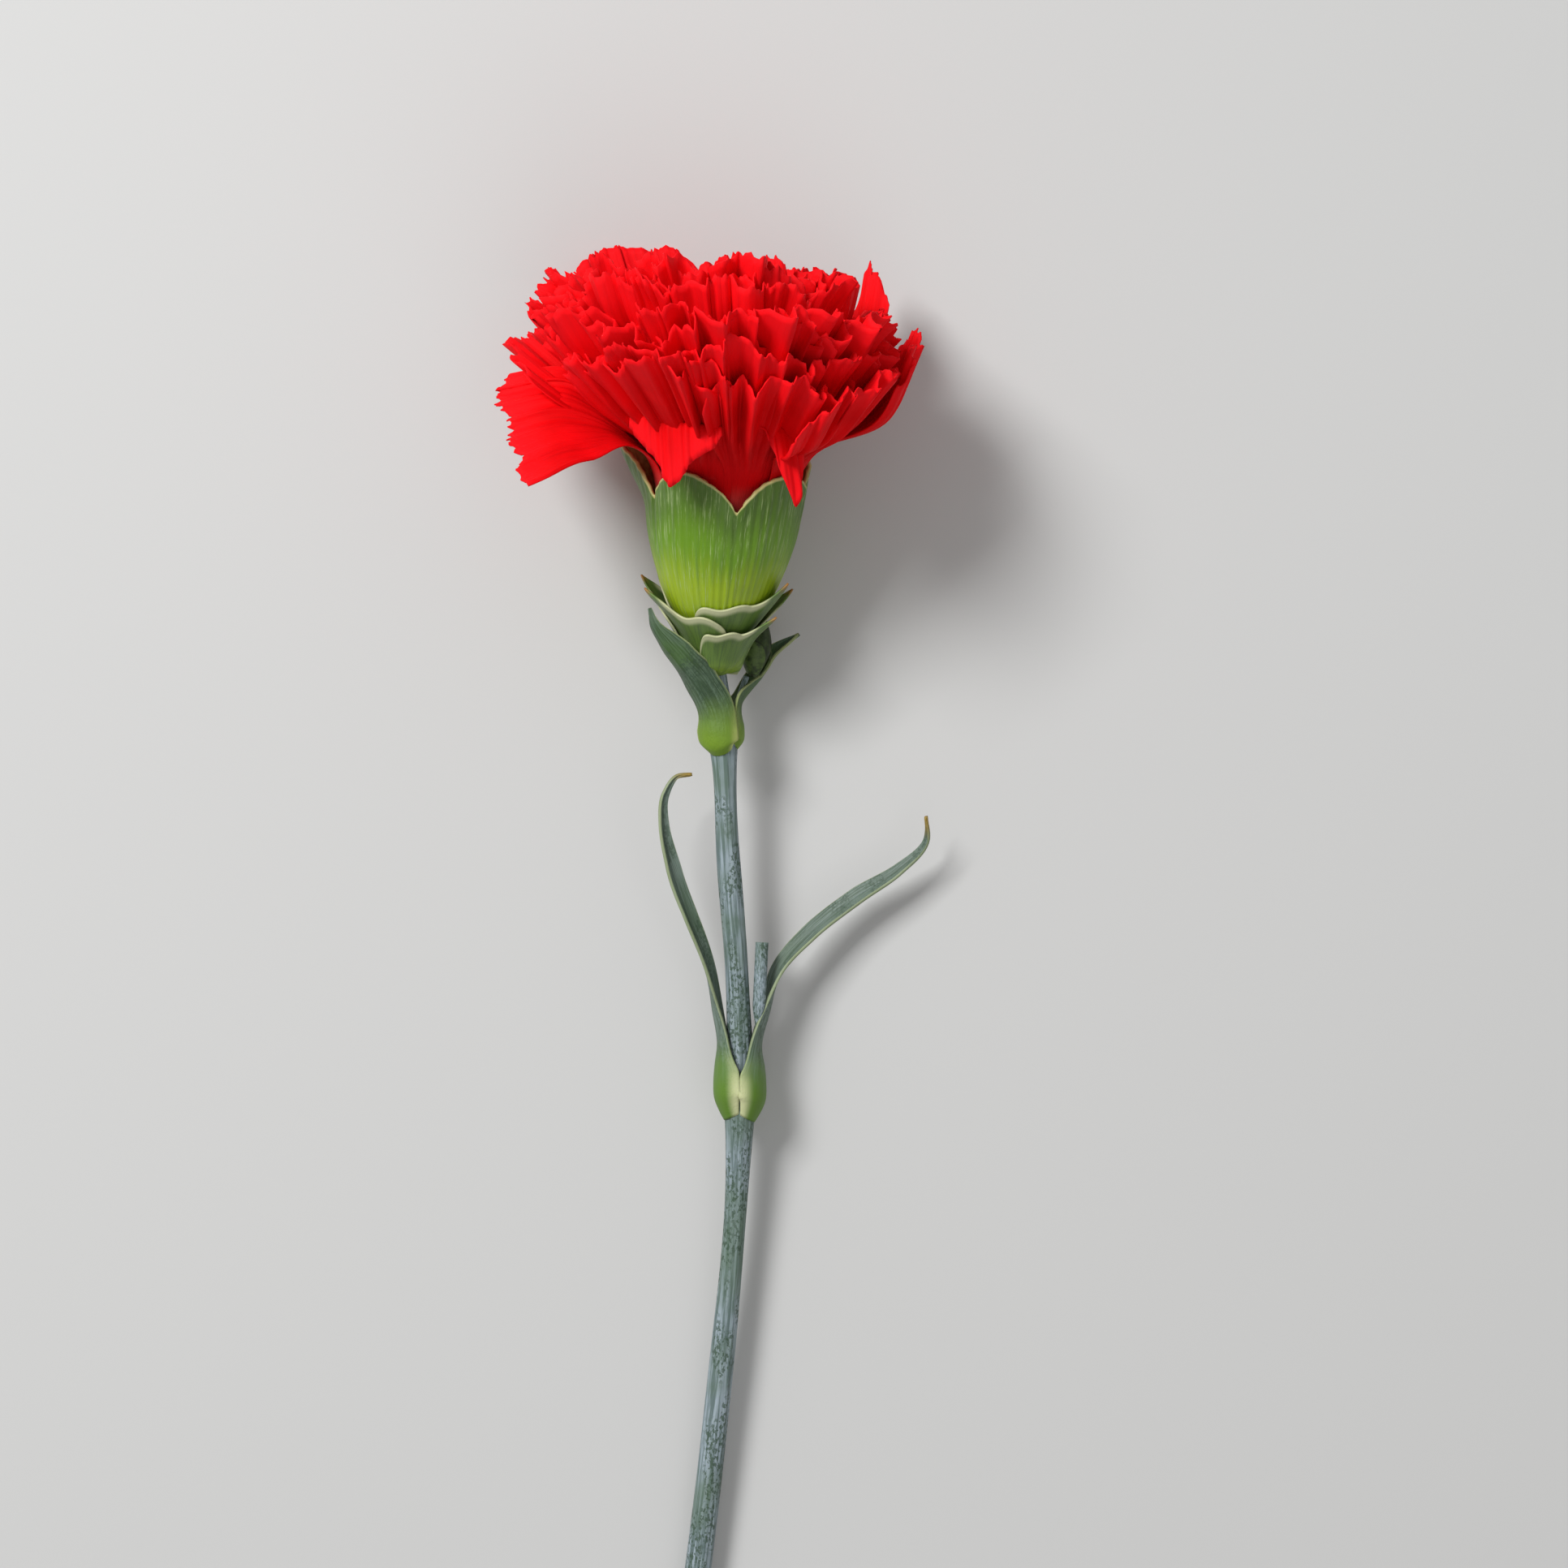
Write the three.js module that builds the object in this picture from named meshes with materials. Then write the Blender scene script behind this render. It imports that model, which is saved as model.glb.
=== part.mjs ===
// A cut double carnation, laid down on a flat surface: stem, leaf pair, bracts, side bud, calyx and petals.
// Units are millimetres. +Z is up from the surface, +Y runs from the cut end of the stem to the flower.
// The origin is on the surface, in the middle of the flower's footprint.
import * as THREE from "three";

// ---------- Driving dimensions ----------

const CLEARANCE = 0.3; // between pieces that touch in life

const STEM = {
  cutRadius: 2.3, // at the cut end, and so the height of its centre above the surface
  radius: 2.0, // between the joints
  neckRadius: 1.75, // under the flower
  jointRadius: 2.75, // the swelling at a joint
  jointFlare: 5, // length over which the stem swells up to a joint
  jointEase: 3, // length over which it narrows again above
  cutLength: 115, // from the cut end up to the leaf joint
  middleLength: 58.5, // from the leaf joint up to the bract joint
  neckLength: 12, // from the bract joint up to the calyx
  sides: 12,
};

// Where the stem runs, as sideways (x) and height (z) offsets at shares of its whole length.
const STEM_ROUTE = [
  { share: 0, x: -7.2, z: 2.3 },
  { share: 0.31, x: 0.1, z: 4.4 },
  { share: 0.56, x: 4.3, z: 7.3 },
  { share: 0.62, x: 4.6, z: 8.2 },
  { share: 0.73, x: 4.1, z: 9.6 },
  { share: 0.84, x: 2.6, z: 10.6 },
  { share: 0.935, x: 1.8, z: 11.8 },
  { share: 1, x: 0.4, z: 13.5 },
];

const HEAD = {
  tiltDeg: 18, // of the flower's axis up from the surface
  leanDeg: 4, // of the flower's axis to +X
};

// The bloom doesn't stand straight on the calyx: it shifts as it rises, and its front rim stands higher.
const BLOOM = {
  swayDeg: 11, // to -X
  settleDeg: 5, // down towards the surface
  frontLift: 0.2, // rise of the rim towards the front, per unit of radius, at the height below
  liftHeight: 30,
};

const CALYX = {
  length: 34, // from the foot to the mouth
  wall: 0.7,
  mouthRadius: 13.6,
  teeth: 5,
  toothDepth: 6.3,
  firstNotchDeg: 10, // azimuth of the notch nearest the top of the laid flower
  flare: 3.4, // how far the spread tooth leans out
  flareDeg: -98, // azimuth of that tooth
  sides: 40,
  // Shares of the length at which it is shaped. Those below levelBelow run level all the way round.
  stations: [0, 0.05, 0.11, 0.17, 0.25, 0.38, 0.54, 0.7, 0.85, 1],
  levelBelow: 0.4,
  footHeight: 2, // of the straight foot round the stalk
  // Outer radius as a share of the mouth's, at shares of the length.
  profile: [
    [0.353, 0.141],
    [0.485, 0.22],
    [0.61, 0.3],
    [0.77, 0.462],
    [0.88, 0.624],
    [0.926, 0.75],
    [0.97, 0.882],
    [1, 1],
  ],
};

const SCALE = { thickness: 0.4, standOff: 0.5, footHeight: 0.6 };
// The scales under the calyx stand in crossed pairs. The tier counts outwards from the calyx.
const SCALES = [
  { name: "scale_inner_right", azimuthDeg: 38, tier: 0, top: 13.2, halfDeg: 62 },
  { name: "scale_inner_left", azimuthDeg: -142, tier: 0, top: 13.5, halfDeg: 62 },
  { name: "scale_middle_left", azimuthDeg: -48, tier: 1, top: 11.6, halfDeg: 58 },
  { name: "scale_middle_right", azimuthDeg: 132, tier: 1, top: 11.6, halfDeg: 58 },
  { name: "scale_outer_right", azimuthDeg: 28, tier: 2, top: 9.6, halfDeg: 46 },
  { name: "scale_outer_left", azimuthDeg: -102, tier: 2, top: 12.6, halfDeg: 40 },
];

// Inside the calyx the stem ends in a seat for the petals, and the ovary stands on the seat.
const CORE = {
  seatTop: 9, // above the foot of the calyx
  seatFit: 0.5, // between the seat and the inside of the calyx
  ovaryRadius: 2.4,
  ovaryTop: 20,
  styleRadius: 0.7,
  styleTop: 30,
  sides: 16,
};

const PETAL = {
  thickness: 0.28,
  clawFit: 0.7, // from the ovary to the middle of the nearest claws
  clawWidth: 2,
  neckRadius: 1.7, // of the innermost ring where it leaves the calyx
  rimFit: 1.5, // from the middle of the outermost petals to the inside of the calyx at its mouth
  seatRim: 0.4, // from the outermost claws to the edge of the seat
  neckShare: 1.01, // height of that neck, as a share of the calyx
  sideGap: 0.35, // between neighbours in one ring
  frill: 0.7, // height of the pinked edge
  pleat: 0.55, // how far the folds stand out at the edge
  columns: 5,
  clawStations: [0, 0.5, 0.92], // shares of the claw at which it is shaped
  limbStations: [0.14, 0.4, 0.7, 1], // shares of the spread part at which it is shaped
};

// The rings of inner petals, from the centre out. Each leaves the calyx at its neck, bends outwards and ends
// at its edge: out and bendOut are measured from the neck, rise and bendRise from the mouth of the calyx.
const RINGS = [
  { name: "heart", count: 3, out: 1.5, rise: 28, bendOut: 0.7, bendRise: 13.5 },
  { name: "core", count: 4, out: 4.7, rise: 30.5, bendOut: 1.7, bendRise: 13.5 },
  { name: "inner", count: 5, out: 8, rise: 31.5, bendOut: 3.1, bendRise: 13.5 },
  { name: "middle", count: 5, out: 12, rise: 31, bendOut: 4.8, bendRise: 13.5 },
  { name: "upper", count: 6, out: 15.8, rise: 29, bendOut: 7, bendRise: 13.5 },
  { name: "outer", count: 6, out: 18.7, rise: 25.5, bendOut: 9.6, bendRise: 13.5 },
];

// The guard petals outside them, each with its own bearing: azimuth 0 faces up from the surface and 90 is
// to +X. The twist raises one side of the edge and lowers the other.
const GUARDS = [
  { name: "front_left", azimuth: -34, span: 54, out: 10.1, rise: 5, bendOut: 7.1, bendRise: 8, twist: 2 },
  { name: "left_low", azimuth: -80, span: 36, out: 24.6, rise: 3.5, bendOut: 12.6, bendRise: 5, twist: -5 },
  { name: "left", azimuth: -115, span: 32, out: 23.1, rise: 17, bendOut: 13.6, bendRise: 8, twist: 0 },
  { name: "back_left", azimuth: -147, span: 30, out: 21.6, rise: 28, bendOut: 13.6, bendRise: 10, twist: 0 },
  { name: "under", azimuth: 178, span: 34, out: 21.6, rise: 27, bendOut: 12.6, bendRise: 9, twist: 0 },
  { name: "back_right", azimuth: 146, span: 28, out: 22.6, rise: 26, bendOut: 13.6, bendRise: 9, twist: 0 },
  { name: "right_high", azimuth: 121, span: 20, out: 21.6, rise: 33, bendOut: 14.6, bendRise: 14, twist: 0 },
  { name: "right", azimuth: 96, span: 28, out: 23.6, rise: 24, bendOut: 15.6, bendRise: 9, twist: 0 },
  { name: "right_low", azimuth: 62, span: 38, out: 22.1, rise: 21, bendOut: 13.6, bendRise: 9, twist: 0 },
  { name: "front_right", azimuth: 22, span: 38, out: 9.1, rise: 1.5, bendOut: 7.1, bendRise: 7, twist: -2 },
];

const PRESS = 0.8; // how softly petals flatten where they meet the surface

const BUD = {
  radius: 2,
  length: 11.4,
  stalkRadius: 0.5,
  stalkFrom: [2.2, 4.6, -0.9], // offset from the bract joint
  foot: [2, 9.4, -1.4], // and its own radius further to +X
  // Its tip stands beside the scales, at this height and azimuth on the calyx.
  tipHeight: 7.5,
  tipAzimuthDeg: 124,
  scaleHalfDeg: 60,
  scaleHeight: 5.2,
  scaleWall: 0.3,
  sides: 12,
};

// A leaf is a channel. Its foot clasps a joint of the stem, with a gap, and its blade leaves along offsets:
// x and z from the line of the stem and flower, y from the joint. They start beyond what the blade clears.
const LEAF_LEFT = {
  name: "leaf_left",
  clasp: { azimuthDeg: -90, halfDeg: 86, gap: 0.45, wall: 0.75, height: 9 },
  blade: { width: 3.4, cupDeg: 38, wall: 0.5, facing: [-0.75, -0.1, -0.65] },
  beyond: STEM.radius,
  offsets: [
    [-1.85, 14, -0.4],
    [-2.7, 20.5, 0.8],
    [-5.3, 29, 2.55],
    [-7.25, 37, 3.2],
    [-8.25, 43.5, 2.65],
    [-7.65, 48.6, 1.55],
    [-4.45, 52, 0.35],
  ],
};
const LEAF_RIGHT = {
  name: "leaf_right",
  clasp: { azimuthDeg: 90, halfDeg: 86, gap: 0.45, wall: 0.75, height: 9 },
  blade: { width: 3.2, cupDeg: 34, wall: 0.5, facing: [0.4, -0.45, -0.8] },
  beyond: STEM.radius,
  offsets: [
    [2.75, 14, -1.2],
    [4.9, 20.5, -2],
    [10.05, 26, -3.3],
    [17.95, 32, -4.55],
    [25.5, 36.6, -4.8],
    [30.25, 41.4, -3.85],
    [30.3, 45.2, -2.25],
  ],
};
const BRACT_LEFT = {
  name: "bract_left",
  clasp: { azimuthDeg: -24, halfDeg: 84, gap: 0.4, wall: 0.6, height: 5.5 },
  blade: { width: 4.6, cupDeg: 58, wall: 0.5, facing: [-0.72, -0.2, 0.66] },
  beyond: STEM.neckRadius + SCALE.standOff + 3 * SCALE.thickness + 2 * CLEARANCE,
  offsets: [
    [-1.55, 9, 0.25],
    [-3.9, 12.6, 1.6],
    [-6.4, 15.6, 1.95],
    [-8.2, 18.4, 1.75],
    [-9, 21, 0.9],
  ],
};
const BRACT_RIGHT = {
  name: "bract_right",
  clasp: { azimuthDeg: 118, halfDeg: 50, gap: 0.85, wall: 0.6, height: 5 },
  blade: { width: 3.2, cupDeg: 50, wall: 0.45, facing: [0.6, -0.4, -0.65] },
  beyond: BUD.radius,
  offsets: [
    [5.25, 9.4, -4.95],
    [7.6, 12.8, -5.9],
    [9.1, 15.2, -6.2],
    [10.15, 17.4, -6.1],
  ],
};

const STUB = {
  radius: 1.05,
  rootRadius: 0.3,
  from: [2.9, 9.6, 1.7], // offset from the leaf joint to its root in the axil
  to: [3.6, 24.8, 1.4],
};

const COLOURS = {
  petal: 0xe0101c,
  stem: 0x5f7a6a,
  neck: 0x6b8a48,
  leaf: 0x74887a,
  bract: 0x4f6b4c,
  calyx: 0x86a83a,
  scale: 0x7d9155,
  bud: 0x35491f,
  core: 0xb9c487,
};

// ---------- Small helpers ----------

const rad = THREE.MathUtils.degToRad;
const lerp = THREE.MathUtils.lerp;
const smooth = (x, low, high) => THREE.MathUtils.smoothstep(x, low, high);
const point = ([x, y, z]) => new THREE.Vector3(x, y, z);
const shares = (count) => Array.from({ length: count + 1 }, (_, i) => i / count);

// Six times the volume inside a closed triangle mesh, negative if its faces point inwards.
function signedVolume(points, faces) {
  let sum = 0;
  for (let i = 0; i < faces.length; i += 3) {
    const [a, b, c] = [points[faces[i]], points[faces[i + 1]], points[faces[i + 2]]];
    sum += a.dot(new THREE.Vector3().crossVectors(b, c));
  }
  return sum;
}

// A closed body over a row of rings with as many points each. A looped row runs back into its first ring.
// Otherwise each end is closed by strips that join point i of the ring to point n - 1 - i, which suits
// round rings and thin folded ones alike. The second half of each ring is cut along the other diagonal, so
// that the two faces of a thin sheet fold along the same lines and its wall stays as thick.
function skin(rings, looped = false) {
  const n = rings[0].length;
  const faces = [];
  const last = (rings.length - 1) * n;
  for (let r = 0; r < rings.length - (looped ? 0 : 1); r += 1) {
    for (let i = 0; i < n; i += 1) {
      const [a, b] = [r * n + i, r * n + ((i + 1) % n)];
      const [c, d] = [a, b].map((k) => (k + n) % (rings.length * n));
      faces.push(...(i < n / 2 ? [a, b, c, b, d, c] : [a, b, d, a, d, c]));
    }
  }
  for (let i = 0; i < n / 2 - 1 && !looped; i += 1) {
    const [a, b, c, d] = [i, i + 1, n - 2 - i, n - 1 - i];
    faces.push(a, c, b, a, d, c);
    faces.push(last + a, last + b, last + c, last + a, last + c, last + d);
  }
  const points = rings.flat();
  if (signedVolume(points, faces) < 0) faces.reverse();
  const geometry = new THREE.BufferGeometry().setFromPoints(points);
  geometry.setIndex(faces);
  geometry.computeVertexNormals();
  return geometry;
}

function material(colour, roughness = 0.6) {
  return new THREE.MeshStandardMaterial({ color: colour, roughness, metalness: 0 });
}

function mesh(name, geometry, finish) {
  const made = new THREE.Mesh(geometry, finish);
  made.name = name;
  return made;
}

// A round body along a curve, with a radius for each share of its length.
function rod(curve, radiusAt, sides, steps) {
  const frames = curve.computeFrenetFrames(steps, false);
  return skin(
    shares(steps).map((t, i) => {
      const centre = curve.getPointAt(t);
      return Array.from({ length: sides }, (_, k) => {
        const angle = (2 * Math.PI * k) / sides;
        return centre
          .clone()
          .addScaledVector(frames.normals[i], radiusAt(t) * Math.cos(angle))
          .addScaledVector(frames.binormals[i], radiusAt(t) * Math.sin(angle));
      });
    }),
  );
}

// ---------- The stem ----------

const stemLength = STEM.cutLength + STEM.middleLength + STEM.neckLength;
const stemCurve = new THREE.CatmullRomCurve3(
  STEM_ROUTE.map(({ share, x, z }) => new THREE.Vector3(x, share * stemLength, z)),
);

// The point of the stem's centreline at a distance y along the surface from the cut end.
function stemAt(y) {
  let [low, high] = [0, 1];
  while (high - low > 1e-6) {
    const middle = (low + high) / 2;
    if (stemCurve.getPoint(middle).y < y) low = middle;
    else high = middle;
  }
  return stemCurve.getPoint(low);
}

const leafJoint = stemAt(STEM.cutLength);
const bractJoint = stemAt(STEM.cutLength + STEM.middleLength);

// How much the stem swells at a distance y from its cut end: 1 at a joint, 0 between them.
function swelling(y) {
  return [leafJoint.y, bractJoint.y].reduce((most, joint) => {
    const before = smooth(y, joint - STEM.jointFlare, joint);
    const after = 1 - smooth(y, joint + STEM.jointFlare / 4, joint + STEM.jointFlare / 4 + STEM.jointEase);
    return Math.max(most, Math.min(before, after));
  }, 0);
}

function plainRadius(y) {
  return y < leafJoint.y
    ? lerp(STEM.cutRadius, STEM.radius, y / leafJoint.y)
    : lerp(STEM.radius, STEM.neckRadius, smooth(y, bractJoint.y, bractJoint.y + STEM.jointEase));
}

// One body from the cut end to the seat of the petals. Its rings stand square to +Y, and turn square to the
// flower's axis on the stalk above the bracts.
function stem() {
  const around = (joint) => [-1, -0.5, 0, 0.25].map((k) => joint + k * STEM.jointFlare);
  const spaced = (from, to, count) => shares(count).map((t) => lerp(from, to, t));
  const ys = [
    ...spaced(0, leafJoint.y - 1.9 * STEM.jointFlare, 9),
    ...around(leafJoint.y),
    ...spaced(leafJoint.y + STEM.jointFlare / 4 + STEM.jointEase, bractJoint.y - 1.9 * STEM.jointFlare, 4),
    ...around(bractJoint.y),
    ...spaced(bractJoint.y + STEM.jointFlare / 4 + STEM.jointEase, stemLength, 2),
  ];
  const ring = (centre, right, front, radius) =>
    Array.from({ length: STEM.sides }, (_, k) => {
      const angle = (2 * Math.PI * (k + 0.5)) / STEM.sides;
      return centre
        .clone()
        .addScaledVector(right, radius * Math.cos(angle))
        .addScaledVector(front, radius * Math.sin(angle));
    });
  const rings = ys.map((y) => {
    const square = smooth(y, bractJoint.y, stemLength);
    const right = new THREE.Vector3(1, 0, 0).lerp(headRight, square);
    const front = new THREE.Vector3(0, 0, 1).lerp(headFront, square);
    return ring(stemAt(y), right, front, lerp(plainRadius(y), STEM.jointRadius, swelling(y)));
  });
  [0.3, 0.5, 0.68, 0.85, 1].forEach((share) => {
    const h = share * CORE.seatTop;
    rings.push(ring(place(0, h, 0), headRight, headFront, Math.max(STEM.neckRadius, seatRadius(h))));
  });
  return mesh("stem", skin(rings), material(COLOURS.stem));
}

// The point of the whole flower's line at a distance y from the cut end: the stem's, then the flower's axis.
function lineAt(y) {
  if (y < stemLength) return stemAt(y);
  return headFoot.clone().addScaledVector(headAxis, (y - stemLength) / headAxis.y);
}

// ---------- Leaves and bracts ----------

// A channelled blade. Its foot clasps the stem at a joint as part of a ring, then the channel
// opens and narrows along the blade to a point.
function leaf(joint, { name, clasp, blade, beyond, offsets }, colour) {
  const outward = point([Math.sin(rad(clasp.azimuthDeg)), 0, Math.cos(rad(clasp.azimuthDeg))]);
  const outerRadius = STEM.jointRadius + clasp.gap + clasp.wall;
  const foot = [-2.2, 0.8, 0.42 * clasp.height, 0.8 * clasp.height].map((rise) =>
    stemAt(joint.y + rise).addScaledVector(outward, outerRadius),
  );
  const free = offsets.map(([x, y, z]) =>
    lineAt(joint.y + y)
      .add(point([x, 0, z]))
      .addScaledVector(outward, beyond),
  );
  const curve = new THREE.CatmullRomCurve3([...foot, ...free]);
  const facing = point(blade.facing).normalize();
  const steps = 13;
  const across = 5;
  const rings = shares(steps).map((t) => {
    const midrib = curve.getPointAt(t);
    const along = curve.getTangentAt(t);
    const rise = midrib.y - joint.y;
    const opened = smooth(rise, 0.45 * clasp.height, 1.6 * clasp.height);
    const normal = outward.clone().lerp(facing, opened);
    normal.addScaledVector(along, -normal.dot(along)).normalize();
    const side = new THREE.Vector3().crossVectors(along, normal);
    const half = rad(lerp(clasp.halfDeg, blade.cupDeg, opened));
    const claspRadius = Math.min(outerRadius, midrib.distanceTo(stemAt(midrib.y)));
    const bladeRadius = blade.width / 2 / Math.sin(rad(blade.cupDeg));
    const taper = Math.sqrt(Math.max(0, 1 - smooth(t, 0.3, 1.02) ** 1.5));
    const radius = lerp(claspRadius, bladeRadius, opened) * lerp(0.12, 1, taper);
    const wall = Math.min(lerp(clasp.wall, blade.wall, opened), 0.7 * radius);
    const centre = midrib.clone().addScaledVector(normal, -radius);
    const arc = (r, share) => {
      const angle = half * (2 * share - 1);
      return centre
        .clone()
        .addScaledVector(side, r * Math.sin(angle))
        .addScaledVector(normal, r * Math.cos(angle));
    };
    const outer = shares(across).map((s) => arc(radius, s));
    const inner = shares(across).map((s) => arc(radius - wall, 1 - s));
    return [...outer, ...inner];
  });
  return mesh(name, skin(rings), material(colour));
}

function shootStub() {
  const [from, to] = [STUB.from, STUB.to].map((offset) => leafJoint.clone().add(point(offset)));
  const curve = new THREE.LineCurve3(from, to);
  const radiusAt = (t) => lerp(STUB.rootRadius, STUB.radius, smooth(t, 0, 0.45));
  return mesh("side_shoot_stub", rod(curve, radiusAt, 10, 5), material(COLOURS.stem));
}

// ---------- The side bud ----------

function sideBud() {
  const foot = bractJoint.clone().add(point(BUD.foot)).add(point([BUD.radius, 0, 0]));
  const scales = SCALE.standOff + 2 * (SCALE.thickness + CLEARANCE);
  const tipRho = calyxRadius(BUD.tipHeight) + scales + 0.7 * BUD.radius;
  const tip = place(tipRho, BUD.tipHeight, rad(BUD.tipAzimuthDeg));
  const axis = tip.sub(foot).normalize();
  const stalkTop = foot.clone().addScaledVector(axis, -CLEARANCE);
  const stalk = new THREE.QuadraticBezierCurve3(
    bractJoint.clone().add(point(BUD.stalkFrom)),
    foot.clone().addScaledVector(axis, -2.5),
    stalkTop,
  );
  const bulge = (s) => Math.sqrt(Math.sin(Math.PI * lerp(0.1, 0.985, s)));
  const bodyRadius = (s) => BUD.radius * bulge(s) * lerp(0.85, 1, s);
  const body = new THREE.LineCurve3(foot, foot.clone().addScaledVector(axis, BUD.length));
  const scale = (name, azimuthDeg) => {
    const up = new THREE.Vector3(0, 0, 1);
    const right = new THREE.Vector3().crossVectors(axis, up).normalize();
    const steps = 5;
    const across = 4;
    const rings = shares(steps).map((s) => {
      const height = s * BUD.scaleHeight + 0.3;
      const inside = bodyRadius(height / BUD.length) + CLEARANCE;
      const half = rad(BUD.scaleHalfDeg) * Math.sqrt(Math.max(0.02, 1 - s ** 2));
      const arc = (r, share) => {
        const angle = rad(azimuthDeg) + half * (2 * share - 1);
        return foot
          .clone()
          .addScaledVector(axis, height)
          .addScaledVector(up, r * Math.cos(angle))
          .addScaledVector(right, r * Math.sin(angle));
      };
      return [
        ...shares(across).map((k) => arc(inside + BUD.scaleWall, k)),
        ...shares(across).map((k) => arc(inside, 1 - k)),
      ];
    });
    return mesh(name, skin(rings), material(COLOURS.bract));
  };
  return [
    mesh("bud_stalk", rod(stalk, () => BUD.stalkRadius, 8, 5), material(COLOURS.neck)),
    mesh("side_bud", rod(body, bodyRadius, BUD.sides, 7), material(COLOURS.bud)),
    scale("bud_scale_left", -60),
    scale("bud_scale_right", 100),
  ];
}

// ---------- The flower head ----------
// The head is modelled about its own axis: h runs up the axis from the foot of the calyx, rho out from it,
// and azimuth 0 faces up from the surface. place() turns those into the laid flower's frame.

const headAxis = new THREE.Vector3(
  Math.tan(rad(HEAD.leanDeg)) * Math.cos(rad(HEAD.tiltDeg)),
  Math.cos(rad(HEAD.tiltDeg)),
  Math.sin(rad(HEAD.tiltDeg)),
).normalize();
const headRight = new THREE.Vector3().crossVectors(headAxis, new THREE.Vector3(0, 0, 1)).normalize();
const headFront = new THREE.Vector3().crossVectors(headRight, headAxis);
const headFoot = stemCurve.getPoint(1);

function place(rho, h, azimuth) {
  const above = Math.max(0, h - CALYX.length);
  const front = rho * Math.cos(azimuth);
  const lift = (BLOOM.frontLift * front * above) / BLOOM.liftHeight;
  return headFoot
    .clone()
    .addScaledVector(headAxis, h + lift)
    .addScaledVector(headRight, rho * Math.sin(azimuth) - Math.tan(rad(BLOOM.swayDeg)) * above)
    .addScaledVector(headFront, front - Math.tan(rad(BLOOM.settleDeg)) * above);
}

// Petals flatten where they meet the surface: heights bend smoothly to stay above it, in order.
function press(p) {
  p.z = PRESS * Math.log1p(Math.exp(p.z / PRESS));
  return p;
}

const footRadius = STEM.neckRadius + 1.35 * CLEARANCE + CALYX.wall;
const calyxOutline = new THREE.SplineCurve([
  new THREE.Vector2(footRadius, 0),
  new THREE.Vector2(footRadius + 0.2, CALYX.footHeight),
  ...CALYX.profile.map(([r, h]) => new THREE.Vector2(r * CALYX.mouthRadius, h * CALYX.length)),
]);

// The calyx's outer radius at height h above its foot.
function calyxRadius(h) {
  let [low, high] = [0, 1];
  while (high - low > 1e-5) {
    const middle = (low + high) / 2;
    if (calyxOutline.getPoint(middle).y < h) low = middle;
    else high = middle;
  }
  return calyxOutline.getPoint(low).x;
}

// The seat's radius at height h, held off the inside of the calyx.
function seatRadius(h) {
  return calyxRadius(h) - CALYX.wall - CORE.seatFit;
}

// How far the calyx's rim drops below the tips of its teeth at an azimuth: rounded teeth, sharp notches.
function rimDrop(azimuth) {
  const phase = (CALYX.teeth / 2) * (azimuth - rad(CALYX.firstNotchDeg));
  return CALYX.toothDepth * (1 - Math.abs(Math.sin(phase)) ** 0.7);
}

// How far a point near the rim leans out on the spread tooth.
function rimFlare(azimuth, h) {
  const turn = azimuth - rad(CALYX.flareDeg);
  const away = Math.abs(Math.atan2(Math.sin(turn), Math.cos(turn)));
  return CALYX.flare * smooth(h, 0.72 * CALYX.length, CALYX.length) * (1 - smooth(away, 0, rad(34)));
}

// A cup with an open foot, through which the stem comes to its seat.
function calyx() {
  const ring = (share, offset) =>
    Array.from({ length: CALYX.sides }, (_, k) => {
      const azimuth = (2 * Math.PI * (k + 0.5)) / CALYX.sides;
      const h = share * CALYX.length - rimDrop(azimuth) * smooth(share, CALYX.levelBelow, 1);
      return place(calyxRadius(h) + offset + rimFlare(azimuth, h), h, azimuth);
    });
  const outside = CALYX.stations.map((share) => ring(share, 0));
  const inside = CALYX.stations.map((share) => ring(share, -CALYX.wall));
  return mesh("calyx", skin([...outside, ...inside.reverse()], true), material(COLOURS.calyx, 0.5));
}

function calyxScale({ name, azimuthDeg, tier, top, halfDeg }) {
  const offset = SCALE.standOff + tier * (SCALE.thickness + CLEARANCE);
  const across = 5;
  const level = CALYX.stations.map((share) => share * CALYX.length);
  const between = level.filter((h) => h > SCALE.footHeight + 0.1 && h < top - 0.1);
  const coarse = [SCALE.footHeight, ...between, top];
  // Finer towards the top, where the scale narrows.
  const fine = coarse.flatMap((h, i) => {
    const halved = i > between.length / 2 && i <= between.length;
    return halved ? [h, (h + coarse[i + 1]) / 2] : [h];
  });
  const rings = fine.map((h) => {
    const s = (h - SCALE.footHeight) / (top - SCALE.footHeight);
    const half = rad(halfDeg) * lerp(0.08, 1, Math.sqrt(Math.max(0, 1 - s ** 3)));
    const arc = (lift, share) =>
      place(calyxRadius(h) + offset + lift, h, rad(azimuthDeg) + half * (2 * share - 1));
    return [
      ...shares(across).map((k) => arc(SCALE.thickness, k)),
      ...shares(across).map((k) => arc(0, 1 - k)),
    ];
  });
  return mesh(name, skin(rings), material(COLOURS.scale));
}

// A body turned about the head's axis, from [rho, h] pairs.
function turned(name, outline, colour) {
  const rings = outline.map(([rho, h]) =>
    Array.from({ length: CORE.sides }, (_, k) => place(rho, h, (2 * Math.PI * k) / CORE.sides)),
  );
  return mesh(name, skin(rings), material(colour));
}

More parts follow.
